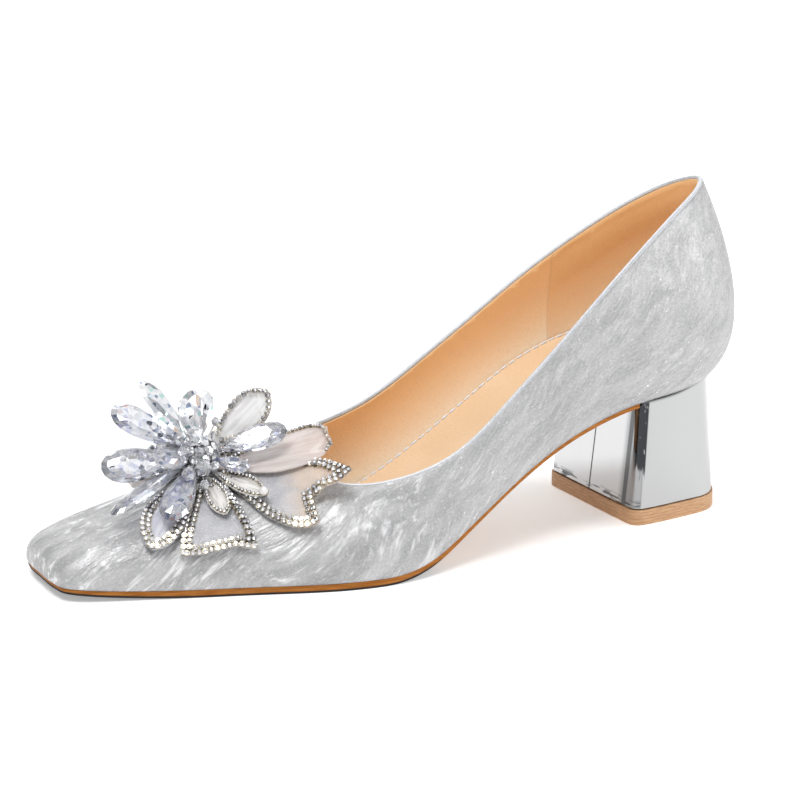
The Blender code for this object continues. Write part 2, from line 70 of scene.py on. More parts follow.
def skin(node, start):
    """One face of a thin solid. It grows from the facet nearest to the start, up to the sharp edges."""
    made = bmesh.new()
    made.from_mesh(nodes[node].data)
    bmesh.ops.remove_doubles(made, verts=made.verts, dist=MERGE)
    made.faces.ensure_lookup_table()
    first = made.faces[BVHTree.FromBMesh(made).find_nearest(start)[2]]
    kept, growing = {first}, [first]
    while growing:
        face = growing.pop()
        for other in (neighbour for edge in face.edges for neighbour in edge.link_faces):
            if other not in kept and face.normal.angle(other.normal, math.pi) < SHARP:
                kept.add(other)
                growing.append(other)
    bmesh.ops.delete(made, geom=[face for face in made.faces if face not in kept], context="FACES")
    join_facets(made)
    return made


def join_facets(made):
    """Joins pairs of triangles to the four-sided faces that the solid was lofted from."""
    bmesh.ops.join_triangles(
        made, faces=made.faces, angle_face_threshold=SHARP, angle_shape_threshold=OFF_SQUARE
    )


def linked(name, data):
    """A new object in the scene with that mesh, lamp or camera."""
    piece = bpy.data.objects.new(name, data)
    bpy.context.scene.collection.objects.link(piece)
    return piece


def piece_of(name, made):
    mesh = bpy.data.meshes.new(name)
    made.to_mesh(mesh)
    made.free()
    return linked(name, mesh)


def rounded(piece, levels):
    smoothing = piece.modifiers.new("rounded", "SUBSURF")
    smoothing.levels = smoothing.render_levels = levels


def walled(piece, thickness, side):
    """A wall of that thickness: side -1 grows it under the faces and 1 over them."""
    wall = piece.modifiers.new("wall", "SOLIDIFY")
    wall.thickness = thickness
    wall.offset = side


def settled(piece, smooth=True):
    """Turns a piece with its modifiers into a plain mesh."""
    view = bpy.context.evaluated_depsgraph_get()
    view.update()
    mesh = bpy.data.meshes.new_from_object(
        piece.evaluated_get(view), preserve_all_data_layers=True, depsgraph=view
    )
    piece.modifiers.clear()
    piece.data = mesh
    mesh.name = piece.name
    if smooth:
        mesh.shade_smooth()
    return piece


def dressed(piece, material, slot, *replaced):
    """Gives a finished piece its material and its place on the shoe."""
    if material:
        piece.data.materials.clear()
        piece.data.materials.append(material)
    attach(piece, "root")
    if replaced:
        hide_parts(*replaced)
    return piece


def add(tree, kind, inputs=None, **fields):
    """Adds a node to a tree. Inputs are values or the sockets of other nodes, by name or number."""
    node = tree.nodes.new(kind)
    for field, value in fields.items():
        setattr(node, field, value)
    for name, value in (inputs or {}).items():
        if isinstance(value, bpy.types.NodeSocket):
            tree.links.new(value, node.inputs[name])
        else:
            node.inputs[name].default_value = value
    return node


def finish_named(name, **values):
    """A material with its shader's own values, its tree, its shader and its place on the object."""
    material = bpy.data.materials.new(name)
    material.use_nodes = True
    tree = material.node_tree
    shader = tree.nodes["Principled BSDF"]
    for value_name, value in values.items():
        shader.inputs[value_name.replace("_", " ").title().replace("Ior", "IOR")].default_value = value
    place = add(tree, "ShaderNodeTexCoord").outputs["Object"]
    return material, tree, shader, place


def noise(tree, place, size, detail=2.0, roughness=0.5, turn=(0, 0, 0), stretch=(1, 1, 1)):
    """Cloudy pattern with spots of that size, which may be stretched along turned axes."""
    spots = {"Vector": place, "Rotation": turn, "Scale": [size * share for share in stretch]}
    laid = add(tree, "ShaderNodeMapping", spots, vector_type="TEXTURE").outputs[0]
    clouds = {"Vector": laid, "Scale": 1.0, "Detail": detail, "Roughness": roughness}
    return add(tree, "ShaderNodeTexNoise", clouds).outputs[0]


def between(tree, value, low, high, at_low=0.0, at_high=1.0):
    """Maps a value from one span to another and stops at the ends."""
    spans = {"Value": value, "From Min": low, "From Max": high, "To Min": at_low, "To Max": at_high}
    return add(tree, "ShaderNodeMapRange", spans, interpolation_type="SMOOTHSTEP").outputs[0]


def tinted(tree, share, first, second):
    """Colour between two others, by a share."""
    return add(tree, "ShaderNodeMix", {0: share, 6: first, 7: second}, data_type="RGBA").outputs[2]


def two_toned(tree, clouds, dark, light):
    """Colour that changes between two tones, mostly with a cloudy pattern."""
    return tinted(tree, between(tree, clouds, 0.3, 0.7), dark, light)


def relief(tree, shader, *layers):
    """Stacks heights, each with its depth, as bump on a shader."""
    normal = None
    for height, depth in layers:
        bump = add(tree, "ShaderNodeBump", {"Height": height, "Distance": depth})
        if normal:
            tree.links.new(normal, bump.inputs["Normal"])
        normal = bump.outputs[0]
    tree.links.new(normal, shader.inputs["Normal"])


def worked(tree, operation, *values):
    """One step of arithmetic on values or sockets."""
    return add(tree, "ShaderNodeMath", dict(enumerate(values)), operation=operation).outputs[0]


def overlap(tree, share, *others):
    """Where all the shares hold: their product."""
    for other in others:
        share = worked(tree, "MULTIPLY", share, other)
    return share


def parts_of(tree, vector):
    """The x, y and z of a vector."""
    return add(tree, "ShaderNodeSeparateXYZ", {0: vector}).outputs


def cells(tree, place, size):
    """A random value for each cell of a pattern of that size."""
    colours = add(tree, "ShaderNodeTexVoronoi", {"Vector": place, "Scale": 1 / size}).outputs["Color"]
    return add(tree, "ShaderNodeSeparateColor", {0: colours}).outputs[0]


def glitter_fabric():
    """Torn white smears that climb towards the heel, over a grey ground with a fine thread grain, and painted
    white glints on the rarest flakes.
    """
    material, tree, shader, place = finish_named("glitter_fabric", specular_ior_level=0.4, metallic=0.25)
    waves = {"Vector": place, "Scale": DRIFT_WAVES, "Detail": 1.0}
    drift = {0: add(tree, "ShaderNodeTexNoise", waves).outputs["Color"], 1: DRIFT, 2: place}
    flowing = add(tree, "ShaderNodeVectorMath", drift, operation="MULTIPLY_ADD").outputs[0]
    along, _, height = parts_of(tree, place)
    calm = between(tree, along, *CALM_ALONG)
    high = worked(tree, "MAXIMUM", between(tree, along, *STEEP_BEFORE), between(tree, height, *STEEP_ABOVE))
    rising = overlap(tree, between(tree, along, *STEEP_ALONG), high)
    patches = noise(tree, place, PATCH, 1.0)
    smears, wisps = [], []
    for climb in (SHALLOW, STEEP):
        stroke = noise(tree, flowing, STROKE, 2.0, 0.5, climb, (7, 1, 1))
        wisp = noise(tree, flowing, WISP, 2.0, 0.5, climb, (13, 1, 1))
        torn = worked(tree, "MULTIPLY_ADD", wisp, 0.55, stroke)
        smears.append(worked(tree, "MULTIPLY_ADD", patches, 0.30, torn))
        wisps.append(wisp)
    strokes = add(tree, "ShaderNodeMix", {0: rising, 2: smears[0], 3: smears[1]}).outputs[0]
    fine = add(tree, "ShaderNodeMix", {0: rising, 2: wisps[0], 3: wisps[1]}).outputs[0]
    smear = between(tree, strokes, 0.93, 1.24)
    strength = between(tree, calm, 0.0, 1.0, 0.85, 0.17)
    band = noise(tree, flowing, BAND, 2.0, 0.5, SHALLOW, (6, 1, 1))
    thread = noise(tree, place, THREAD, 1.0, 0.5, SHALLOW, (3, 1, 1))
    spark = between(tree, cells(tree, place, FLAKE), 0.988, 0.998)
    # Painted highlights: the rarest flakes, more of them in the smears, are painted pure white as glints.
    painted_glint = overlap(tree, spark, between(tree, smear, 0, 0.6, 0.35, 1))
    lively = two_toned(tree, band, (0.345, 0.345, 0.35, 1), (0.51, 0.51, 0.515, 1))
    even = two_toned(tree, band, (0.365, 0.365, 0.37, 1), (0.47, 0.47, 0.475, 1))
    even = tinted(tree, between(tree, fine, 0.42, 0.68, 0, 0.22), even, (0.66, 0.66, 0.665, 1))
    ground = tinted(tree, calm, lively, even)
    ground = tinted(tree, between(tree, thread, 0.52, 0.72, 0, 0.32), ground, (0.70, 0.70, 0.71, 1))
    ground = tinted(tree, between(tree, thread, 0.48, 0.28, 0, 0.26), ground, (0.24, 0.24, 0.245, 1))
    white = tinted(tree, overlap(tree, smear, strength), ground, (0.93, 0.93, 0.94, 1))
    lit = tinted(tree, painted_glint, white, (1, 1, 1, 1))
    tree.links.new(lit, shader.inputs["Base Color"])
    tree.links.new(between(tree, thread, 0.3, 0.7, 0.55, 0.34), shader.inputs["Roughness"])
    relief(tree, shader, (strokes, 0.35 * MM), (thread, 0.12 * MM), (spark, 0.15 * MM))
    return material


upper = piece_of("upper_shell", skin("upper", OUTER_SIDE))
rounded(upper, 2)
settled(upper)
upper_skin = bmesh.new()
upper_skin.from_mesh(upper.data)
walled(upper, UPPER_WALL, -1)
dressed(settled(upper), glitter_fabric(), "upper_fabric", "upper")

# Topline fold
# The fabric is folded over a tape along the collar and throat, and stands as a thin pale bead.
# A tree of nodes runs a round section along the upper edge of the fabric.

FOLD_RADIUS = 0.8 * MM


def rims(made):
    """The open edges of a mesh, as ordered loops of vertices."""
    waiting = {edge.index: edge for edge in made.edges if edge.is_boundary}
    loops = []
    while waiting:
        edge = waiting.pop(min(waiting))
        loop = list(edge.verts)
        while True:
            ahead = [e for e in loop[-1].link_edges if e.index in waiting]
            if not ahead:
                break
            waiting.pop(ahead[0].index)
            loop.append(ahead[0].other_vert(loop[-1]))
        loops.append(loop[:-1] if loop[0] == loop[-1] else loop)
    return loops


def line_piece(name, points, closed=True):
    """A bare line through the points, for a tree of nodes to work along."""
    count = len(points)
    edges = [(i, (i + 1) % count) for i in range(count if closed else count - 1)]
    mesh = bpy.data.meshes.new(name)
    mesh.from_pydata([tuple(point) for point in points], edges, [])
    return linked(name, mesh)


def new_tree(name, sizes):
    """A tree of geometry nodes with a geometry in and out and its named sizes."""
    tree = bpy.data.node_groups.new(name, "GeometryNodeTree")
    tree.interface.new_socket("Geometry", in_out="INPUT", socket_type="NodeSocketGeometry")
    for size in sizes:
        tree.interface.new_socket(size, in_out="INPUT", socket_type="NodeSocketFloat")
    tree.interface.new_socket("Geometry", in_out="OUTPUT", socket_type="NodeSocketGeometry")
    return tree, tree.nodes.new("NodeGroupInput").outputs, tree.nodes.new("NodeGroupOutput").inputs


def grown(piece, tree, sizes, smooth=True):
    """Runs a tree on a piece at the given sizes and keeps its result as a plain mesh."""
    modifier = piece.modifiers.new(tree.name, "NODES")
    modifier.node_group = tree
    for socket in tree.interface.items_tree:
        if socket.in_out == "INPUT" and socket.name in sizes:
            modifier[socket.identifier] = sizes[socket.name]
    return settled(piece, smooth)


def real_piece(tree, instances, material):
    """The last steps of a tree: instances made real, with their material."""
    real = add(tree, "GeometryNodeRealizeInstances", {"Geometry": instances}).outputs[0]
    return add(tree, "GeometryNodeSetMaterial", {"Geometry": real, "Material": material}).outputs[0]


def bead_tree(name, material):
    """A round section that runs along a line."""
    tree, given, made = new_tree(name, ["Radius"])
    line = add(tree, "GeometryNodeMeshToCurve", {"Mesh": given["Geometry"]}).outputs[0]
    round_line = {"Resolution": 10, "Radius": given["Radius"]}
    section = add(tree, "GeometryNodeCurvePrimitiveCircle", round_line).outputs[0]
    run = {"Curve": line, "Profile Curve": section, "Fill Caps": True}
    tube = add(tree, "GeometryNodeCurveToMesh", run).outputs[0]
    tree.links.new(real_piece(tree, tube, material), made[0])
    return tree


def facing_parts(tree):
    """The x, y and z of the direction that a surface faces."""
    return parts_of(tree, add(tree, "ShaderNodeNewGeometry").outputs["Normal"])


def fold_fabric():
    """Grey cloth with painted light on top of the fold, where it faces up, and painted shade in the turn
    below.
    """
    material, tree, shader, place = finish_named("fold_fabric", roughness=0.42, metallic=0.2)
    grain = noise(tree, place, 0.5 * MM)
    upwards = facing_parts(tree)[2]
    cloth = two_toned(tree, grain, (0.44, 0.46, 0.49, 1), (0.60, 0.61, 0.63, 1))
    # Painted highlight where the bead faces up and painted shade where it faces down.
    pale = tinted(tree, between(tree, upwards, 0.60, 0.95), cloth, (0.74, 0.76, 0.80, 1))
    shaded = tinted(tree, between(tree, upwards, 0.0, -0.5), pale, (0.30, 0.34, 0.41, 1))
    tree.links.new(shaded, shader.inputs["Base Color"])
    relief(tree, shader, (grain, 0.15 * MM))
    return material


upper_skin.normal_update()
top_rim = max(rims(upper_skin), key=lambda loop: sum(vert.co.z for vert in loop) / len(loop))
topline = [vert.co - vert.normal * UPPER_WALL / 2 for vert in top_rim]
upper_skin.free()
fold = line_piece("topline_fold", topline)
grown(fold, bead_tree("fold_bead", fold_fabric()), {"Radius": FOLD_RADIUS})
dressed(fold, None, "upper_fabric")

# Lining
# Tan leather, glued to the inside of the upper up to the fold, in two parts that meet at a lapped seam.
# It is padded in a strip along the back of the collar, where it grips the heel.

LINING = 0.5 * MM
GRIP_SWELL = 0.9 * MM
GRIP_FROM, GRIP_TO = 2.5 * MM, 12.0 * MM
GRIP_START, GRIP_BLEND = 62 * MM, 20 * MM
GRIP_FULLNESS = 0.7
# The lining's colour is painted: painted shade near the collar, turning to painted light further down inside.
PAINTED_LIGHT_FROM, PAINTED_LIGHT_POWER = 27.0 * MM, 1.8
LINING_SEAM = 66.0 * MM


def carried(tree, name):
    """A value that the mesh carries from point to point."""
    return add(tree, "ShaderNodeAttribute", attribute_name=name).outputs["Fac"]


def clamped(value):
    return min(max(value, 0.0), 1.0)


def tan_leather(name, dark, light, grain_size, gloss, tone_name=None):
    """Soft leather with a fine pebbled grain. Its tone follows an attribute, or else changes slowly."""
    material, tree, shader, place = finish_named(name, roughness=gloss)
    if tone_name:
        colour = tinted(tree, carried(tree, tone_name), dark, light)
    else:
        colour = two_toned(tree, noise(tree, place, 24 * MM, 3.0), dark, light)
    fine = noise(tree, place, grain_size, 3.0, 0.6)
    grains = {"Vector": place, "Scale": 1 / grain_size}
    pebbles = add(tree, "ShaderNodeTexVoronoi", grains).outputs["Distance"]
    pores = [0.8 * channel for channel in dark[:3]] + [1]
    shaded = tinted(tree, between(tree, fine, 0.45, 0.75, 0.0, 0.25), colour, pores)
    tree.links.new(shaded, shader.inputs["Base Color"])
    relief(tree, shader, (pebbles, 0.06 * MM), (fine, 0.05 * MM))
    return material


def seamed(material, seam_x):
    """Draws a lapped seam across a leather: a fine shaded line, and a deeper tone behind it."""
    tree = material.node_tree
    shader = tree.nodes["Principled BSDF"]
    leather = shader.inputs["Base Color"].links[0].from_socket
    place = add(tree, "ShaderNodeTexCoord").outputs["Object"]
    past = worked(tree, "SUBTRACT", parts_of(tree, place)[0], seam_x)
    behind = tinted(tree, between(tree, past, 0.0, 0.6 * MM, 0.0, 0.4), leather, (0.80, 0.44, 0.17, 1))
    line = between(tree, worked(tree, "ABSOLUTE", past), 0.5 * MM, 0.1 * MM, 0.0, 0.25)
    tree.links.new(tinted(tree, line, behind, (0.50, 0.26, 0.11, 1)), shader.inputs["Base Color"])


openings = {opening["name"]: opening["box_m"] for opening in frame["record"]["physics"]["openings"]}
instep_low, instep_high = openings["instep"]
inside = (Vector(instep_low) + Vector(instep_high)) / 2
lining = piece_of("lining", skin("upper", inside))
rounded(lining, 2)
settled(lining)
collar = BVHTree.FromPolygons(topline, [(i, (i + 1) % len(topline), i) for i in range(len(topline))])
normals = [vert.normal.copy() for vert in lining.data.vertices]
painted_light_depth = lining.data.attributes.new("painted_light_depth", "FLOAT", "POINT")
for vert, off in zip(lining.data.vertices, normals):
    below = collar.find_nearest(vert.co)[3]
    # Painted shade near the collar and painted light further down: the share grows with the distance below
    # it.
    painted_light_depth.data[vert.index].value = clamped(below / PAINTED_LIGHT_FROM) ** PAINTED_LIGHT_POWER
    share = clamped((below - GRIP_FROM) / (GRIP_TO - GRIP_FROM))
    at_back = clamped((vert.co.x - GRIP_START) / GRIP_BLEND)
    vert.co += off * GRIP_SWELL * at_back * math.sin(math.pi * share) ** GRIP_FULLNESS
walled(lining, LINING, 0)
lining_leather = tan_leather(
    "lining_leather", (0.90, 0.53, 0.25, 1), (1.0, 0.98, 0.84, 1), 0.7 * MM, 0.5, "painted_light_depth"
)
seamed(lining_leather, LINING_SEAM)
dressed(settled(lining), lining_leather, "insole_leather")

# Outsole
# Thin tan leather with a burnished edge, cemented under the feather edge up to the breast of the heel.
# Its forefoot is near-black along its lowest edge, next to the floor, and this dies away towards the heel.

SOLE_ROUND = 0.3 * MM
DARK_EDGE_HIGH, DARK_EDGE_END, DARK_EDGE_FADE = 0.7 * MM, 5.0 * MM, 20 * MM
TREAD_FACING = -0.8


def eased(name, node, width, levels):
    """A smooth copy of a solid with its sharp edges eased by that width."""
    made = bmesh.new()
    made.from_mesh(nodes[node].data)
    bmesh.ops.remove_doubles(made, verts=made.verts, dist=MERGE)
    join_facets(made)
    piece = piece_of(name, made)
    ease = piece.modifiers.new("ease", "BEVEL")
    ease.width = width
    ease.segments = 2
    ease.limit_method = "ANGLE"
    ease.angle_limit = SHARP
    rounded(piece, levels)
    return settled(piece)


def sole_leather():
    """Burnished orange-brown edge, a duller underside, and near-black along the lowest edge of the forefoot.
    """
    material, tree, shader, place = finish_named("sole_leather", roughness=0.55, specular_ior_level=0.15)
    fibre = noise(tree, place, 1.2 * MM, 3.0, 0.6, stretch=(6, 6, 0.4))
    grain = noise(tree, place, 0.5 * MM)
    edge = two_toned(tree, fibre, (0.30, 0.10, 0.014, 1), (0.47, 0.18, 0.035, 1))
    under = two_toned(tree, grain, (0.30, 0.16, 0.07, 1), (0.38, 0.21, 0.10, 1))
    downwards = between(tree, facing_parts(tree)[2], -0.35, -0.75)
    leather = tinted(tree, downwards, edge, under)
    floor_edge_darkened = two_toned(tree, carried(tree, "dark_floor_edge"), leather, (0.025, 0.022, 0.02, 1))
    tree.links.new(floor_edge_darkened, shader.inputs["Base Color"])
    relief(tree, shader, (fibre, 0.08 * MM), (grain, 0.05 * MM))
    return material


outsole = eased("outsole_leather", "outsole", SOLE_ROUND, 2)
underside = [list(face.vertices) for face in outsole.data.polygons if face.normal.z < TREAD_FACING]
tread = BVHTree.FromPolygons([vert.co for vert in outsole.data.vertices], underside)
dark_floor_edge = outsole.data.attributes.new("dark_floor_edge", "FLOAT", "POINT")
# Near-black along the lowest edge of the forefoot, next to the floor, dying away towards the heel.
for vert in outsole.data.vertices:
    near_floor = 1.5 - tread.find_nearest(vert.co)[3] / DARK_EDGE_HIGH
    dark_floor_edge.data[vert.index].value = clamped((DARK_EDGE_END - vert.co.x) / DARK_EDGE_FADE) * clamped(near_floor)
dressed(outsole, sole_leather(), "sole_leather", "outsole")

# Sock
# The padded insole, covered in pale tan leather and cupped against the lining.
# Thread in long stitches holds its edge, all the way round.

SOCK_ROUND = 0.6 * MM
STITCH_LONG, STITCH_PITCH, STITCH_THICK = 3.0 * MM, 3.3 * MM, 0.8 * MM
STITCH_IN, STITCH_PROUD = 1.0 * MM, 0.15 * STITCH_THICK


def spaced_points(tree, given):
    """Points at each pitch along a tree's line."""
    line = add(tree, "GeometryNodeMeshToCurve", {"Mesh": given["Geometry"]}).outputs[0]
    steps = {"Curve": line, "Length": given["Pitch"]}
    return add(tree, "GeometryNodeResampleCurve", steps, mode="LENGTH").outputs[0]


def turned_to(tree, direction):
    """The turn that points a body's Z that way."""
    return add(tree, "FunctionNodeAlignRotationToVector", {"Vector": direction}, axis="Z").outputs[0]


def stitch_tree(name, material):
    """Rounded stitches laid one after another along a line."""
    tree, given, made = new_tree(name, ["Pitch", "Length", "Thickness"])
    along = add(tree, "GeometryNodeInputTangent").outputs[0]
    thread = add(tree, "GeometryNodeMeshUVSphere", {"Segments": 8, "Rings": 6, "Radius": 0.5}).outputs[0]
    size = {"X": given["Thickness"], "Y": given["Thickness"], "Z": given["Length"]}
    laid = {
        "Points": spaced_points(tree, given), "Instance": thread, "Rotation": turned_to(tree, along),
        "Scale": add(tree, "ShaderNodeCombineXYZ", size).outputs[0],
    }
    stitches = add(tree, "GeometryNodeInstanceOnPoints", laid).outputs[0]
    tree.links.new(real_piece(tree, stitches, material), made[0])
    return tree


def clouded(name, dark, light, spot, detail=2.0, **values):
    """A plain finish that drifts between two tones."""
    material, tree, shader, place = finish_named(name, **values)
    tone = two_toned(tree, noise(tree, place, spot, detail), dark, light)
    tree.links.new(tone, shader.inputs["Base Color"])
    return material


sock = eased("sock", "insole", SOCK_ROUND, 2)
sock_leather = tan_leather("sock_leather", (0.82, 0.595, 0.375, 1), (0.87, 0.66, 0.44, 1), 0.9 * MM, 0.45)
dressed(sock, sock_leather, "insole_leather", "insole")
sock_top = skin("insole", inside)
sock_skin = BVHTree.FromBMesh(sock_top)
sock_edge = max(rims(sock_top), key=len)
stitched = []
for vert in sock_edge:
    to_middle = Vector((0, -vert.co.y, 0))
    spot, off, _, _ = sock_skin.find_nearest(vert.co + to_middle.normalized() * STITCH_IN)
    stitched.append(spot + off * STITCH_PROUD)
sock_top.free()
stitches = line_piece("sock_stitches", stitched)
thread = clouded("grey_thread", (0.60, 0.68, 0.80, 1), (0.95, 0.96, 0.98, 1), 0.3 * MM, 1.0, roughness=0.55)
stitch_sizes = {"Pitch": STITCH_PITCH, "Length": STITCH_LONG, "Thickness": STITCH_THICK}
grown(stitches, stitch_tree("long_stitches", thread), stitch_sizes)
dressed(stitches, None, "insole_leather")

# Heel
# A moulded block with a bright mirror plating, screwed to the sole from inside.
# Its breast has a fine dark line that leans from top to bottom.

# The plating's dark bands, streaks and smudges are painted reflections, and its breast is painted lighter for
# what it would reflect.
HEEL_EASE = 0.5 * MM
BREAST_LINE_Y, BREAST_LINE_LEAN, BREAST_LINE_HALF = 3.8 * MM, 0.094, (0.45 * MM, 0.2 * MM)
REFLECTION_FADE, DARK_REFLECTION_BAND, PALE_REFLECTION_LINE = (16 * MM, 19 * MM), (18.6 * MM, 19.4 * MM), (21 * MM, 21.6 * MM)
REFLECTION_STREAK_FOOT, REFLECTION_STREAK_RAG = (24 * MM, 28 * MM), 16 * MM
REFLECTION_SMUDGE_TOP = (8.8 * MM, 6.6 * MM)
SEAT_LINE = 0.6 * MM


def surface_of(piece):
    """The faces of a piece, to find which point on them is nearest."""
    mesh = piece.data
    return BVHTree.FromPolygons(
        [vert.co for vert in mesh.vertices], [list(face.vertices) for face in mesh.polygons]
    )


def mirror_plating():
    """Bright plating with painted reflections: dark bands and streaks beside a front corner, dark smudges low
    down and a breast painted lighter; and a leaning dark line down the breast.
    """
    material, tree, shader, place = finish_named("mirror_plating", metallic=1.0)
    backwards = facing_parts(tree)[0]
    _, aside, height = parts_of(tree, place)
    front = between(tree, backwards, -0.15, -0.4)
    on_breast = between(tree, backwards, -0.97, -0.99)
    corner = overlap(tree, between(tree, backwards, -0.05, -0.13), between(tree, backwards, -0.97, -0.85))
    leaning = worked(tree, "MULTIPLY_ADD", height, BREAST_LINE_LEAN, aside)
    outwards = worked(tree, "SUBTRACT", BREAST_LINE_Y, leaning)
    breast_line = overlap(tree, between(tree, worked(tree, "ABSOLUTE", outwards), *BREAST_LINE_HALF), on_breast)
    painted_reflection_fade = overlap(tree, between(tree, outwards, *REFLECTION_FADE), front)
    band = overlap(tree, between(tree, outwards, *DARK_REFLECTION_BAND), front)
    painted_pale_reflection = overlap(tree, between(tree, outwards, *PALE_REFLECTION_LINE), front)
    ragged = noise(tree, place, 1.6 * MM, 2.0, 0.6, stretch=(1, 1, 3))
    torn_end = between(tree, worked(tree, "MULTIPLY_ADD", ragged, REFLECTION_STREAK_RAG, height), *REFLECTION_STREAK_FOOT)
    painted_dark_streak = overlap(tree, corner, torn_end, between(tree, ragged, 0.25, 0.37))
    blots = noise(tree, place, 1.3 * MM, 2.0, 0.6, stretch=(5, 5, 1))
    painted_reflection_smudge = overlap(tree, between(tree, height, *REFLECTION_SMUDGE_TOP), between(tree, blots, 0.46, 0.56), front)
    seat = carried(tree, "seat_line")
    # Painted reflection: the breast is painted lighter than the sides.
    plate = tinted(tree, on_breast, (0.465, 0.468, 0.47, 1), (0.60, 0.60, 0.605, 1))
    # Painted dark reflections in bands beside the front corner, with a pale line past them.
    plate = tinted(tree, painted_reflection_fade, plate, (0.36, 0.365, 0.37, 1))
    plate = tinted(tree, band, plate, (0.13, 0.132, 0.135, 1))
    plate = tinted(tree, painted_pale_reflection, plate, (0.34, 0.345, 0.35, 1))
    # Painted dark reflection in the ragged streaks at the corner; the dark line down the breast takes the
    # same tone.
    plate = tinted(tree, worked(tree, "MAXIMUM", painted_dark_streak, breast_line), plate, (0.045, 0.046, 0.05, 1))
    # Painted dark reflection in the smudges low on the block; the seat line where the block meets the upper
    # takes the same tone.
    plate = tinted(tree, worked(tree, "MAXIMUM", painted_reflection_smudge, seat), plate, (0.13, 0.135, 0.14, 1))
    tree.links.new(plate, shader.inputs["Base Color"])
    haze = noise(tree, place, 14 * MM, 2.0)
    tree.links.new(between(tree, haze, 0.3, 0.8, 0.02, 0.08), shader.inputs["Roughness"])
    return material


heel = eased("heel_block", "heel", HEEL_EASE, 3)
upper_surface = surface_of(upper)
seat_line = heel.data.attributes.new("seat_line", "FLOAT", "POINT")
for vert in heel.data.vertices:
    gap = upper_surface.find_nearest(vert.co)[3]
    seat_line.data[vert.index].value = clamped(2.0 - gap / SEAT_LINE)
dressed(heel, mirror_plating(), "heel_mirror", "heel")

# Heel tip
# Layers of tan leather board, pressed together, trimmed a little proud of the block and nailed on.
# The layers show as fine level lines.

TIP_EASE = 0.3 * MM
LAYER, LAYER_WANDER = 1.1 * MM, 0.4 * MM


def stacked_board():
    """Fibrous board with a fine dark line between its layers."""
    material, tree, shader, place = finish_named("stacked_board", roughness=0.55)
    wander = noise(tree, place, 12 * MM)
    level = worked(tree, "MULTIPLY_ADD", wander, LAYER_WANDER, parts_of(tree, place)[2])
    within = worked(tree, "FRACT", worked(tree, "DIVIDE", level, LAYER))
    line = between(tree, within, 0.16, 0.0)
    fibre = noise(tree, place, 0.6 * MM, 3.0, 0.6, stretch=(6, 6, 0.5))
    board = two_toned(tree, fibre, (0.45, 0.24, 0.115, 1), (0.63, 0.39, 0.21, 1))
    tree.links.new(tinted(tree, line, board, (0.33, 0.15, 0.06, 1)), shader.inputs["Base Color"])
    relief(tree, shader, (fibre, 0.08 * MM))
    return material


heel_tip = eased("heel_lift", "heel_tip", TIP_EASE, 2)
dressed(heel_tip, stacked_board(), "tip_leather", "heel_tip")

# Leaves
# Four fans of lilac tulle with a glitter finish, cut with pointed corners and sewn flat on the vamp.
# Each follows the upper face of its solid, and lifts a little where it leaves the fabric.

LEAF_CLOTH = 0.4 * MM
CORNER = math.radians(30)
LIFT_FROM, LIFT_TO = 1.6 * MM, 2.6 * MM
TAN_THROUGH = (1.0, 0.82, 0.66, 1)

heart_low, heart_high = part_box("flower_heart")
shoe_skin = surface_of(nodes["upper"])
flower_foot, flower_up, _, _ = shoe_skin.find_nearest((heart_low + heart_high) / 2)


def top_face(node):
    """The face of a sheet that looks away from the vamp, with its pointed corners kept sharp."""
    broadest = max(nodes[node].data.polygons, key=lambda facet: facet.area * facet.normal.dot(flower_up))
    made = skin(node, broadest.center)
    points = made.verts.layers.float.new("crease_vert")
    for loop in rims(made):
        for before, vert, after in zip(loop[-1:] + loop[:-1], loop, loop[1:] + loop[:1]):
            turn = (vert.co - before.co).angle(after.co - vert.co, 0.0)
            vert[points] = 1.0 if turn > CORNER else 0.0
    return made


def from_stem(spot):
    """The way from the flower's stem to a spot, along the vamp."""
    away = spot - flower_foot
    return away - flower_up * away.dot(flower_up)


def rim_of(sheet):
    """The rim of a sheet from its root round and back, with the direction off the cloth at each point."""
    made = bmesh.new()
    made.from_mesh(sheet.data)
    made.normal_update()
    loop = max(rims(made), key=len)
    plan = [from_stem(vert.co) for vert in loop]
    root_spot = sum(plan, Vector()).normalized() * min(spot.length for spot in plan)
    root = min(range(len(loop)), key=lambda i: (plan[i] - root_spot).length)
    rim = [(vert.co.copy(), vert.normal.copy()) for vert in loop[root:] + loop[:root]]
    made.free()
    return rim


def lengthwise(sheet, rim):
    """Maps a sheet in metres, u along its middle and v across. Returns its flat width and length."""
    sides = np.array([(rim[i][0], rim[-i][0]) for i in range(1, len(rim) // 2 + 1)])
    middle = sides.mean(axis=1)
    across = sides[:, 0] - sides[:, 1]
    widths = np.linalg.norm(across, axis=1)
    along = np.gradient(middle, axis=0)
    steps = np.linalg.norm(np.diff(middle, axis=0), axis=1)
    gone = np.concatenate([[0.0], np.cumsum(steps)])
    across /= np.maximum(widths, 0.01 * MM)[:, None]
    along /= np.maximum(np.linalg.norm(along, axis=1), MERGE)[:, None]
    points = np.array([vert.co for vert in sheet.data.vertices])
    near = np.linalg.norm(points[:, None] - middle[None], axis=2).argmin(axis=1)
    from_middle = points - middle[near]
    u = gone[near] + np.einsum("ij,ij->i", from_middle, along[near])
    v = np.einsum("ij,ij->i", from_middle, across[near])
    chart = sheet.data.uv_layers.new(name="lengthwise")
    for corner in sheet.data.loops:
        chart.data[corner.index].uv = (u[corner.vertex_index], v[corner.vertex_index])
    return float(widths.max()), float(gone[-1])


def see_through(tree, cloth, share):
    """Tints a sheer cloth with the tan leather that shows through it where it lifts off the vamp."""
    return tinted(tree, worked(tree, "MULTIPLY", carried(tree, "lifted"), share), cloth, TAN_THROUGH)


def mapped(tree):
    """A place on a sheet, along its middle and across."""
    return add(tree, "ShaderNodeUVMap", uv_map="lengthwise").outputs[0]


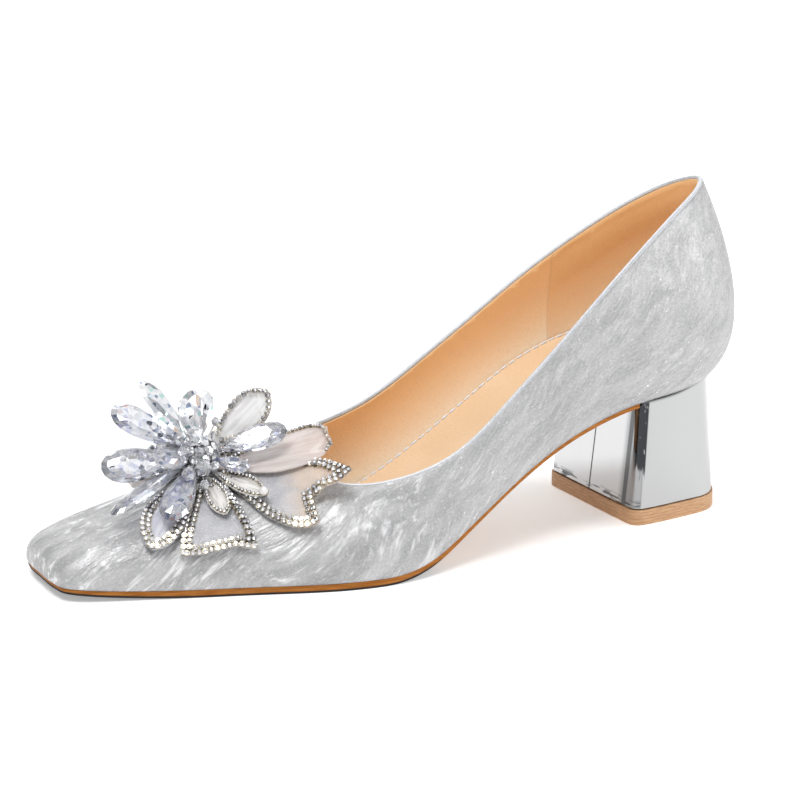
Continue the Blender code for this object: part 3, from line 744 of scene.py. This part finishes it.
def glitter_tulle():
    """Sheer net with a silver glitter on it, through which the ground shows a little."""
    material, tree, shader, place = finish_named(
        "glitter_tulle", roughness=0.35, transmission_weight=0.5, ior=1.1, metallic=0.1
    )
    net = noise(tree, place, 0.45 * MM, 2.0, 0.6)
    cloth = two_toned(tree, noise(tree, place, 4 * MM), (0.67, 0.67, 0.70, 1), (0.80, 0.80, 0.83, 1))
    cloth = tinted(tree, between(tree, net, 0.48, 0.30, 0.0, 0.5), cloth, (0.58, 0.58, 0.62, 1))
    spark = tinted(tree, between(tree, net, 0.56, 0.70), cloth, (0.98, 0.98, 1.0, 1))
    tree.links.new(see_through(tree, spark, 0.6), shader.inputs["Base Color"])
    relief(tree, shader, (net, 0.25 * MM))
    return material


def cloth_sheet(name, node, material, slot):
    """A thin sheet on the upper face of a solid. Returns it with its rim, its flat size and its area."""
    sheet = piece_of(name, top_face(node))
    rounded(sheet, 2)
    settled(sheet)
    lifted = sheet.data.attributes.new("lifted", "FLOAT", "POINT")
    for vert in sheet.data.vertices:
        gap = shoe_skin.find_nearest(vert.co)[3]
        lifted.data[vert.index].value = clamped((gap - LIFT_FROM) / (LIFT_TO - LIFT_FROM))
    rim = rim_of(sheet)
    area = sum(face.area for face in sheet.data.polygons)
    flat = lengthwise(sheet, rim)
    walled(sheet, LEAF_CLOTH, -1)
    settled(sheet)
    dressed(sheet, material, slot, node)
    return sheet, rim, flat, area


tulle = glitter_tulle()
chained = []
for node in ("leaf_front_outer", "leaf_rear_outer", "leaf_front_inner", "leaf_rear_inner"):
    chained.append((node, *cloth_sheet(node + "_tulle", node, tulle, "leaf_cloth")))

# Petals
# Five ovals of stiff organza over the leaves, lilac, shell pink or white, with painted streaks of sheen along
# the weave.
# Four follow the vamp, and the last stands up and curls back at its tip.


def organza(name, dark, light, through):
    """Sheer stiff weave with painted sheen: long lighter streaks in its colour from root to tip."""
    material, tree, shader, _ = finish_named(
        name, roughness=0.3, transmission_weight=0.4, ior=1.1, sheen_weight=0.4, coat_weight=0.3
    )
    chart = mapped(tree)
    sheen = noise(tree, chart, 1.5 * MM, 3.0, 0.6, stretch=(10, 1, 1))
    weave = noise(tree, chart, 0.35 * MM, 1.0, stretch=(3, 1, 1))
    # Painted sheen: the colour turns light along the streaks.
    cloth = tinted(tree, between(tree, sheen, 0.36, 0.64), dark, light)
    tree.links.new(see_through(tree, cloth, through), shader.inputs["Base Color"])
    relief(tree, shader, (sheen, 0.2 * MM), (weave, 0.08 * MM))
    return material


lilac = organza("lilac_organza", (0.74, 0.74, 0.84, 1), (0.95, 0.95, 1.0, 1), 0.0)
shell = organza("shell_organza", (0.74, 0.67, 0.66, 1), (0.90, 0.86, 0.85, 1), 0.12)
white_organza = organza("white_organza", (0.80, 0.79, 0.79, 1), (0.98, 0.98, 0.98, 1), 0.0)
petals = {
    "petal_rear_outer": shell,
    "petal_front_outer": lilac,
    "petal_front_inner": shell,
    "petal_rear_inner": lilac,
    "petal_curled": white_organza,
}
for node, cloth in petals.items():
    chained.append((node, *cloth_sheet(node + "_organza", node, cloth, "organza")))

# Small leaves
# Two narrow leaves of cream satin near the stem, sewn over the tulle.
# The one at the back ends in a pearl, which is glued in a small cup.

PEARL_RADIUS, CUP_DEPTH = 1.4 * MM, 1.2 * MM
CUP_FOOT, CUP_MOUTH = 0.7 * PEARL_RADIUS, 1.1 * PEARL_RADIUS
PEARL_RISE = CUP_DEPTH + 0.4 * PEARL_RADIUS


def cream_satin():
    """Close weave with painted sheen: a soft gloss from root to tip, painted into its colour as lighter
    streaks.
    """
    material, tree, shader, _ = finish_named("cream_satin", roughness=0.25, coat_weight=0.4, sheen_weight=0.3)
    sheen = noise(tree, mapped(tree), 1.2 * MM, stretch=(8, 1, 1))
    # Painted sheen: lighter along the gloss streaks.
    cloth = two_toned(tree, sheen, (0.52, 0.50, 0.47, 1), (0.84, 0.82, 0.79, 1))
    tree.links.new(cloth, shader.inputs["Base Color"])
    relief(tree, shader, (sheen, 0.15 * MM))
    return material


satin = cream_satin()
for node in ("small_leaf_rear", "small_leaf_front"):
    chained.append((node, *cloth_sheet(node + "_satin", node, satin, "leaf_cloth")))
rear_rim = next(rim for node, _, rim, *_ in chained if node == "small_leaf_rear")
pearl_spot, pearl_off = max(rear_rim, key=lambda point: from_stem(point[0]).length)
upright = pearl_off.to_track_quat("Z", "Y").to_matrix().to_4x4()
pearl_cup, pearl = bmesh.new(), bmesh.new()
bmesh.ops.create_cone(
    pearl_cup, cap_ends=True, segments=20, radius1=CUP_FOOT, radius2=CUP_MOUTH, depth=CUP_DEPTH,
    matrix=Matrix.Translation(pearl_spot + pearl_off * CUP_DEPTH / 2) @ upright,
)
bmesh.ops.create_uvsphere(
    pearl, u_segments=24, v_segments=16, radius=PEARL_RADIUS,
    matrix=Matrix.Translation(pearl_spot + pearl_off * PEARL_RISE),
)
brass = clouded(
    "cup_brass", (0.30, 0.26, 0.19, 1), (0.62, 0.55, 0.42, 1), 0.6 * MM, metallic=1.0, roughness=0.3
)
lustre = clouded(
    "pearl_lustre", (0.66, 0.63, 0.61, 1), (0.84, 0.82, 0.82, 1), 1.0 * MM, roughness=0.12, coat_weight=0.8
)
dressed(piece_of("pearl_cup", pearl_cup), brass, "heart_stones")
dressed(settled(piece_of("pearl", pearl)), lustre, "heart_stones")

# Rhinestone chains
# Cup chain along the rim of every petal and leaf: small cut stones in claw settings, linked end to end.
# The rear outer petal has it on its far side alone. A tree of nodes sets cup and stone at each pitch,
# square to the cloth, with a chance tint.

CHAIN_SIZES = {"Pitch": 1.85 * MM, "Width": 1.75 * MM, "Height": 1.0 * MM}
WIRE_SIZES = {"Pitch": 1.3 * MM, "Width": 1.2 * MM, "Height": 0.8 * MM}
CHAIN_CLEAR = 8.0 * MM
CHAIN_ROWS, ROW_KEPT = (0.7 * MM, 2.4 * MM), 0.8
FAR_SIDE = 0.6
FULL_SIZE = (1, 1, 1)


def named(tree, name, kind="FLOAT"):
    """A value or direction that the points carry."""
    return add(tree, "GeometryNodeInputNamedAttribute", {"Name": name}, data_type=kind).outputs[0]


def set_stone(tree, given, cup_sides, foot, girdle, table, crown):
    """A cup and the stone on it. Foot, girdle and table are shares of the width, crown of the height."""
    half, foot, girdle, table = (
        worked(tree, "MULTIPLY", given["Width"], share) for share in (0.5, foot, girdle, table)
    )
    crown = worked(tree, "MULTIPLY", given["Height"], crown)
    cup_shape = {"Vertices": cup_sides, "Radius Top": half, "Radius Bottom": foot, "Depth": given["Height"]}
    stone_shape = {"Vertices": 8, "Radius Top": table, "Radius Bottom": girdle, "Depth": crown}
    raised = add(tree, "ShaderNodeCombineXYZ", {"Z": given["Height"]}).outputs[0]
    cup = add(tree, "GeometryNodeMeshCone", cup_shape).outputs[0]
    stone = add(tree, "GeometryNodeMeshCone", stone_shape).outputs[0]
    stone = add(tree, "GeometryNodeTransform", {"Geometry": stone, "Translation": raised}).outputs[0]
    return cup, stone


def seated(tree, made, points, turned, bodies, seed):
    """Puts each body on all the points with a chance tint, and joins them as the tree's result."""
    tint = add(tree, "FunctionNodeRandomValue", {"Seed": seed}, data_type="FLOAT").outputs[1]
    joined = add(tree, "GeometryNodeJoinGeometry")
    for body, finish, scale in bodies:
        laid = {"Points": points, "Instance": body, "Rotation": turned, "Scale": scale}
        row = add(tree, "GeometryNodeInstanceOnPoints", laid).outputs[0]
        kept = {"Geometry": row, "Name": "tint", "Value": tint}
        row = add(tree, "GeometryNodeStoreNamedAttribute", kept, domain="INSTANCE", data_type="FLOAT")
        tree.links.new(real_piece(tree, row.outputs[0], finish), joined.inputs[0])
    tree.links.new(joined.outputs[0], made[0])
    return tree


def chain_tree(name, cup_finish, stone_finish):
    """Stones in their cups along a line, square to it and to the cloth."""
    tree, given, made = new_tree(name, ["Pitch", "Width", "Height"])
    along = add(tree, "GeometryNodeInputTangent").outputs[0]
    lines = {"Rotation": turned_to(tree, named(tree, "off", "FLOAT_VECTOR")), "Vector": along}
    square = add(tree, "FunctionNodeAlignRotationToVector", lines, axis="X", pivot_axis="Z").outputs[0]
    cup, stone = set_stone(tree, given, cup_sides=8, foot=0.42, girdle=0.42, table=0.22, crown=0.6)
    bodies = [(cup, cup_finish, FULL_SIZE), (stone, stone_finish, FULL_SIZE)]
    return seated(tree, made, spaced_points(tree, given), square, bodies, seed=7)


def claw_metal(name, dark, light):
    """Cast metal, a little brighter or darker from one setting to the next."""
    material, tree, shader, place = finish_named(name, metallic=1.0, roughness=0.28)
    tree.links.new(tinted(tree, carried(tree, "tint"), dark, light), shader.inputs["Base Color"])
    relief(tree, shader, (noise(tree, place, 0.4 * MM), 0.05 * MM))
    return material


def cut_stone():
    """Foil-backed glass, which shines like metal and differs from stone to stone."""
    material, tree, shader, _ = finish_named("cut_stone", metallic=0.85, roughness=0.06)
    tone = tinted(tree, carried(tree, "tint"), (0.56, 0.56, 0.60, 1), (0.94, 0.94, 0.95, 1))
    tree.links.new(tone, shader.inputs["Base Color"])
    return material


def pointed(name, points, edges, directions):
    """A mesh of points and edges for a tree of nodes, with the direction that each point's stone faces."""
    mesh = bpy.data.meshes.new(name)
    mesh.from_pydata(points, edges, [])
    mesh.attributes.new("off", "FLOAT_VECTOR", "POINT").data.foreach_set("vector", np.ravel(directions))
    return linked(name, mesh)


def chain_rows(name, rim, insets):
    """Rows along the rim of a sheet, each inset from it, with the direction off the cloth at each point."""
    spots = np.array([spot for spot, _ in rim])
    off = np.array([normal for _, normal in rim])
    inwards = np.cross(off, np.roll(spots, -1, axis=0) - np.roll(spots, 1, axis=0))
    inwards /= np.maximum(np.linalg.norm(inwards, axis=1), MERGE)[:, None]
    inwards *= np.sign(np.einsum("ij,ij->", inwards, spots.mean(axis=0) - spots))
    points, normals, edges = [], [], []
    for inset in insets:
        row = spots + inwards * inset
        from_rim = np.linalg.norm(row[:, None] - spots[None], axis=2).min(axis=1)
        clear_of_stem = np.array([from_stem(Vector(spot)).length > CHAIN_CLEAR for spot in row])
        kept = np.flatnonzero((from_rim > ROW_KEPT * inset) & clear_of_stem)
        edges += [(len(points) + i, len(points) + i + 1) for i in range(len(kept) - 1)]
        points += [tuple(row[i]) for i in kept]
        normals += [off[i] for i in kept]
    return pointed(name, points, edges, normals)


def far_side(rim):
    """The longer part of a rim that lies on the inner side of the foot."""
    sides = rim[: int(FAR_SIDE * len(rim))], rim[int((1 - FAR_SIDE) * len(rim)):]
    return max(sides, key=lambda side: sum(spot.y for spot, _ in side))


old_silver = claw_metal("chain_silver", (0.16, 0.145, 0.11, 1), (0.70, 0.63, 0.49, 1))
chain = chain_tree("cup_chain", old_silver, cut_stone())
for node, sheet, rim, flat, area in chained:
    small = node.startswith("small")
    wide = node.startswith("leaf") or node.startswith("petal_front")
    edged = far_side(rim) if node == "petal_rear_outer" else rim
    line = chain_rows(node + "_chain", edged, CHAIN_ROWS if wide else CHAIN_ROWS[:1])
    grown(line, chain, WIRE_SIZES if small or edged is not rim else CHAIN_SIZES, smooth=False)
    dressed(line, None, "heart_stones")

# Heart
# A ball of round cut stones, each in its own setting, wired on a short stem that is sewn to the vamp.
# A tree of nodes seats the stones on the points of a geodesic ball.

HEART_STONE, HEART_CUP = 3.0 * MM, 0.9 * MM
HEART_EASE, HEART_SINK = 0.3 * MM, 0.9 * MM
FACET_SHARE = 0.6

heart_points = np.array([vert.co for vert in nodes["flower_heart"].data.vertices]) - np.array(flower_foot)
heights = heart_points @ np.array(flower_up)
from_axis = heart_points - np.outer(heights, np.array(flower_up))
heart_radius = float(np.linalg.norm(from_axis, axis=1).max())
heart_centre = Vector(flower_foot) + flower_up * (float(heights.max()) - heart_radius)


def heart_tree(name, cup_finish, stone_finish):
    """Stones in their cups on the points of a geodesic ball."""
    tree, given, made = new_tree(name, ["Radius", "Width", "Height"])
    ball = add(tree, "GeometryNodeMeshIcoSphere", {"Radius": given["Radius"], "Subdivisions": 2}).outputs[0]
    upright = turned_to(tree, add(tree, "GeometryNodeInputNormal").outputs[0])
    cup, stone = set_stone(tree, given, cup_sides=10, foot=0.26, girdle=0.5, table=0.26, crown=1.0)
    bodies = [(cup, cup_finish, FULL_SIZE), (stone, stone_finish, FULL_SIZE)]
    return seated(tree, made, ball, upright, bodies, seed=3)


clear, ice, mist = (0.98, 0.98, 1.0, 1), (0.84, 0.89, 0.96, 1), (0.78, 0.80, 0.84, 1)
# The near-black tone and the steel blue are painted dark reflections in the crystals' cells.
lilac_tone, steel, dark_reflection_tone = (0.63, 0.65, 0.87, 1), (0.24, 0.30, 0.44, 1), (0.02, 0.025, 0.04, 1)
mint, rose = (0.50, 0.80, 0.72, 1), (0.90, 0.56, 0.50, 1)


def stepped(tree, value, stops):
    """Colour by steps: each stop is the value where it starts and its tone."""
    steps = add(tree, "ShaderNodeValToRGB", {0: value})
    steps.color_ramp.interpolation = "CONSTANT"
    tones = steps.color_ramp.elements
    tones.remove(tones[1])
    tones[0].position, tones[0].color = stops[0]
    for start, tone in stops[1:]:
        tones.new(start).color = tone
    return steps.outputs[0]


def coated_crystal(name, cell, tones, clearness, shine):
    """Foil-backed glass, painted cell by cell: the near-black and steel-blue cells are painted dark
    reflections, the rest clear or the coating's tints.
    """
    material, tree, shader, place = finish_named(
        name, metallic=shine, roughness=0.03, transmission_weight=clearness, ior=1.65, coat_weight=1.0
    )
    inner = cells(tree, place, cell)
    mixed = worked(tree, "FRACT", worked(tree, "MULTIPLY_ADD", carried(tree, "tint"), FACET_SHARE, inner))
    tree.links.new(stepped(tree, mixed, tones), shader.inputs["Base Color"])
    return material


crystals = [
    coated_crystal("ice_crystal", 1.5 * MM, [
        (0.0, dark_reflection_tone), (0.015, steel), (0.05, ice), (0.20, clear), (0.62, mist), (0.82, lilac_tone),
        (0.92, clear),
    ], 0.85, 0.06),
    coated_crystal("lilac_crystal", 1.7 * MM, [
        (0.0, dark_reflection_tone), (0.01, steel), (0.04, lilac_tone), (0.22, clear), (0.58, ice), (0.70, mist),
        (0.95, rose), (0.97, clear),
    ], 0.7, 0.2),
    coated_crystal("blue_crystal", 1.4 * MM, [
        (0.0, dark_reflection_tone), (0.02, steel), (0.07, ice), (0.30, clear), (0.70, mist), (0.88, mint), (0.91, clear),
    ], 0.2, 0.5),
]
white_crystal = coated_crystal("white_crystal", 1.5 * MM, [
    (0.0, dark_reflection_tone), (0.04, clear), (0.40, ice), (0.50, clear), (0.80, mist), (0.92, lilac_tone), (0.95, clear),
], 0.8, 0.12)
heart_core = eased("heart_core", "flower_heart", HEART_EASE, 2)
core_normals = [vert.normal.copy() for vert in heart_core.data.vertices]
for vert, off in zip(heart_core.data.vertices, core_normals):
    vert.co -= off * HEART_SINK
silver = claw_metal("heart_silver", (0.55, 0.55, 0.56, 1), (0.85, 0.85, 0.86, 1))
dressed(heart_core, silver, "heart_stones", "flower_heart")
heart_stones = line_piece("heart_cluster", [(0, 0, 0), (0, 0, MM)], closed=False)
seats = {"Radius": heart_radius - HEART_SINK, "Width": HEART_STONE, "Height": HEART_CUP}
grown(heart_stones, heart_tree("stone_ball", silver, crystals[2]), seats, smooth=False)
heart_stones.data.transform(Matrix.Translation(heart_centre))
dressed(heart_stones, None, "heart_stones")

# Drops
# Twelve pear-cut crystals with an iridescent coating, wired by their narrow end round the heart.
# Each is cut in its solid: a girdle, a crown with a flat table and a pavilion under it.

# Crown and pavilion are shares of the girdle's outline and of the half thickness, halfway and at the flat.
GIRDLE = 20
CROWN = ((0.84, 0.50), (0.55, 0.88))
PAVILION = ((0.80, -0.55), (0.36, -0.97))
ROOT_SWELL, TIP_SWELL = 0.45, 1.1
TABLE_SHIFT = 0.06

facet_chance = np.random.default_rng(11)


def pear_cut(name, node):
    """A faceted drop in the length, width and thickness of its solid, with a chance tint for each facet."""
    points = np.array([vert.co for vert in nodes[node].data.vertices])
    reach = np.linalg.norm(points - np.array(heart_centre), axis=1)
    root, tip = points[reach.argmin()], points[reach.argmax()]
    length = np.linalg.norm(tip - root)
    along = (tip - root) / length
    flat = points - root - np.outer((points - root) @ along, along)
    wide = np.linalg.svd(flat, full_matrices=False)[2][0]
    thick = np.cross(along, wide)
    thick *= np.sign(thick @ np.array(flower_up)) or 1.0
    half_wide, half_thick = np.abs(flat @ wide).max(), np.abs(flat @ thick).max()
    turn = 2 * np.pi * np.arange(GIRDLE) / GIRDLE
    out = (1 - np.cos(turn)) / 2
    swell = np.sin(turn) * (ROOT_SWELL * (1 - out) + TIP_SWELL * out)
    swell *= half_wide / swell.max()

    def ring(share, height):
        shifted = 0.5 + (out - 0.5) * share + TABLE_SHIFT * (1 - share)
        return root + np.outer(shifted * length, along) + np.outer(swell * share, wide) + thick * height

    made = bmesh.new()
    girdle = [made.verts.new(p) for p in ring(1.0, 0.0)]
    for (half_share, half_height), (flat_share, flat_height) in (CROWN, PAVILION):
        halfway = [made.verts.new(p) for p in ring(half_share, half_height * half_thick)]
        table = [made.verts.new(p) for p in ring(flat_share, flat_height * half_thick)[::2]]
        made.faces.new(table)
        for i in range(0, GIRDLE, 2):
            lower = [girdle[(i + step) % GIRDLE] for step in range(3)]
            upper_ring = [halfway[(i + step) % GIRDLE] for step in range(3)]
            first, second = table[i // 2], table[(i // 2 + 1) % len(table)]
            for step in (0, 1):
                made.faces.new((lower[step], lower[step + 1], upper_ring[1]))
                made.faces.new((lower[2 * step], upper_ring[1], upper_ring[2 * step]))
            made.faces.new((upper_ring[0], upper_ring[1], first))
            made.faces.new((upper_ring[1], second, first))
            made.faces.new((upper_ring[1], upper_ring[2], second))
    bmesh.ops.recalc_face_normals(made, faces=made.faces)
    tint = made.faces.layers.float.new("tint")
    for face in made.faces:
        face[tint] = facet_chance.random()
    return piece_of(name, made)


drop_pieces = []
for turn, node in enumerate(sorted(name for name in nodes if name.startswith("drop_"))):
    stone = pear_cut(node + "_crystal", node)
    drop_pieces.append(dressed(stone, crystals[turn % len(crystals)], "crystal", node))

# Spray
# Round cut stones in three sizes on short wires, which fill the gaps between the drops round the heart.
# They stand in shells about the heart, where a stone and the neck of its wire clear the drops and the
# cloth, and no two stones meet. The wire of an outer stone may run through one that is nearer the heart.

SPRAY_WIDTHS = (6.0 * MM, 4.6 * MM, 3.4 * MM)
SPRAY_SHELLS = [reach * MM for reach in (8.0, 9.5, 11.0, 12.5, 14.0)]
SPRAY_WIRE = 0.5 * MM
SPRAY_TRIES, SPRAY_LOW, SPRAY_NECK = 160, -0.35, 0.8
CLOTH_CLEAR = 1.2 * MM
GOLDEN_TURN = math.pi * (3 - math.sqrt(5))


def spray_tree(name, wire_finish, stone_finish):
    """Cut stones on straight wires. Each point carries its stone's share of the width and its reach."""
    tree, given, made = new_tree(name, ["Width", "Wire"])
    half, thin = (worked(tree, "MULTIPLY", given[size], 0.5) for size in ("Width", "Wire"))
    gem = add(tree, "GeometryNodeMeshIcoSphere", {"Radius": half, "Subdivisions": 1}).outputs[0]
    wire = add(tree, "GeometryNodeMeshCylinder", {"Vertices": 8, "Radius": thin, "Depth": 1.0}).outputs[0]
    wire = add(tree, "GeometryNodeTransform", {"Geometry": wire, "Translation": (0, 0, -0.5)}).outputs[0]
    length = add(tree, "ShaderNodeCombineXYZ", {"X": 1.0, "Y": 1.0, "Z": named(tree, "reach")}).outputs[0]
    upright = turned_to(tree, named(tree, "off", "FLOAT_VECTOR"))
    bodies = [(gem, stone_finish, named(tree, "share")), (wire, wire_finish, length)]
    return seated(tree, made, given["Geometry"], upright, bodies, seed=5)


def clears(neighbours, spot, room):
    """Whether a ball of this radius at the spot keeps out of each surface, by that surface's margin."""
    for surface, margin in neighbours:
        there, facing, _, gap = surface.find_nearest(spot)
        if gap < room + margin or (spot - there).dot(facing) < 0:
            return False
    return True


neighbours = [(surface_of(piece), 0.0) for piece in drop_pieces]
neighbours += [(surface_of(sheet), CLOTH_CLEAR) for _, sheet, *_ in chained] + [(shoe_skin, CLOTH_CLEAR)]
upright_heart = flower_up.to_track_quat("Z", "Y")
shells = [(width, reach) for width in SPRAY_WIDTHS for reach in SPRAY_SHELLS]
shells = [(width, reach) for width, reach in shells if reach - width / 2 > heart_radius]
sprays = []
for width, reach in shells:
    for i in range(SPRAY_TRIES):
        rise = 1 - (1 - SPRAY_LOW) * (i + 0.5) / SPRAY_TRIES
        out, around = math.sqrt(1 - rise * rise), GOLDEN_TURN * i
        off = upright_heart @ Vector((out * math.cos(around), out * math.sin(around), rise))
        spot, neck = heart_centre + off * reach, heart_centre + off * SPRAY_NECK * reach
        crowded = any((spot - other).length < (width + least) / 2 for other, _, least, _ in sprays)
        if crowded or not clears(neighbours, spot, width / 2):
            continue
        if clears(neighbours, neck, SPRAY_WIRE / 2):
            sprays.append((spot, off, width, reach))
spots, directions, widths, reaches = zip(*sprays)
spray = pointed("spray", spots, [], directions)
shares = [width / SPRAY_WIDTHS[0] for width in widths]
wire_reaches = [reach - HEART_SINK for reach in reaches]
spray.data.attributes.new("share", "FLOAT", "POINT").data.foreach_set("value", shares)
spray.data.attributes.new("reach", "FLOAT", "POINT").data.foreach_set("value", wire_reaches)
wired = {"Width": SPRAY_WIDTHS[0], "Wire": SPRAY_WIRE}
grown(spray, spray_tree("stone_spray", silver, white_crystal), wired, smooth=False)
dressed(spray, None, "heart_stones")

# Studio
# A plain pale floor, a white room with dark gaps overhead and a grey flag before the toe, and soft lamps.
# The camera looks at the outer side from the toe, a little from above.

FLOOR_HALF = 6.0
PANEL = 1 / 3.2
VIEW_AZIMUTH, VIEW_ELEVATION = math.radians(-26.5), math.radians(16.4)
VIEW_DISTANCE = 0.95
VIEW_TARGET = Vector((-0.8, 1.1, 45.0)) * MM
LENS = 137.0

floor_mesh = bpy.data.meshes.new("floor")
corners = [(FLOOR_HALF * x, FLOOR_HALF * y, 0.0) for x, y in ((-1, -1), (1, -1), (1, 1), (-1, 1))]
floor_mesh.from_pydata(corners, [], [(0, 1, 2, 3)])
floor = linked("floor", floor_mesh)
floor_paint, _, _, _ = finish_named(
    "floor_paint", base_color=(0.90, 0.90, 0.90, 1), roughness=0.8, emission_color=(1, 1, 1, 1),
    emission_strength=0.34
)
floor.data.materials.append(floor_paint)

world = bpy.data.worlds.new("room")
world.use_nodes = True
bpy.context.scene.world = world
room = world.node_tree
sky = add(room, "ShaderNodeTexCoord").outputs["Generated"]
across, _, above = parts_of(room, sky)
gaps = overlap(room, between(room, cells(room, sky, PANEL), 0.30, 0.26), between(room, above, 0.25, 0.35))
flag = overlap(room, between(room, across, -0.45, -0.85), between(room, above, 0.5, 0.3))
panel_tone = tinted(room, gaps, (1, 1, 1, 1), (0.04, 0.04, 0.05, 1))
panel_tone = tinted(room, flag, panel_tone, (0.18, 0.18, 0.18, 1))
room.links.new(panel_tone, room.nodes["Background"].inputs["Color"])
room.nodes["Background"].inputs["Strength"].default_value = 0.80


def lamp(name, place, size, power):
    """A round soft lamp that looks at the shoe."""
    light = bpy.data.lights.new(name, "AREA")
    light.energy = power
    light.shape = "DISK"
    light.size = size
    holder = linked(name, light)
    holder.location = place
    holder.rotation_euler = (VIEW_TARGET - Vector(place)).to_track_quat("-Z", "Y").to_euler()


lamp("key_lamp", (-0.4, -0.25, 1.05), 0.6, 7.6)
lamp("fill_lamp", (1.0, -0.4, 0.45), 0.8, 4.0)
lamp("back_lamp", (0.1, 0.9, 0.8), 0.7, 2.0)

back = Vector((
    math.sin(VIEW_AZIMUTH) * math.cos(VIEW_ELEVATION),
    -math.cos(VIEW_AZIMUTH) * math.cos(VIEW_ELEVATION),
    math.sin(VIEW_ELEVATION),
))
camera = linked("camera", bpy.data.cameras.new("camera"))
camera.location = VIEW_TARGET + back * VIEW_DISTANCE
camera.rotation_euler = (-back).to_track_quat("-Z", "Y").to_euler()
camera.data.lens = LENS
camera.data.clip_start = 0.05
bpy.context.scene.camera = camera
bpy.context.scene.view_settings.view_transform = "Standard"
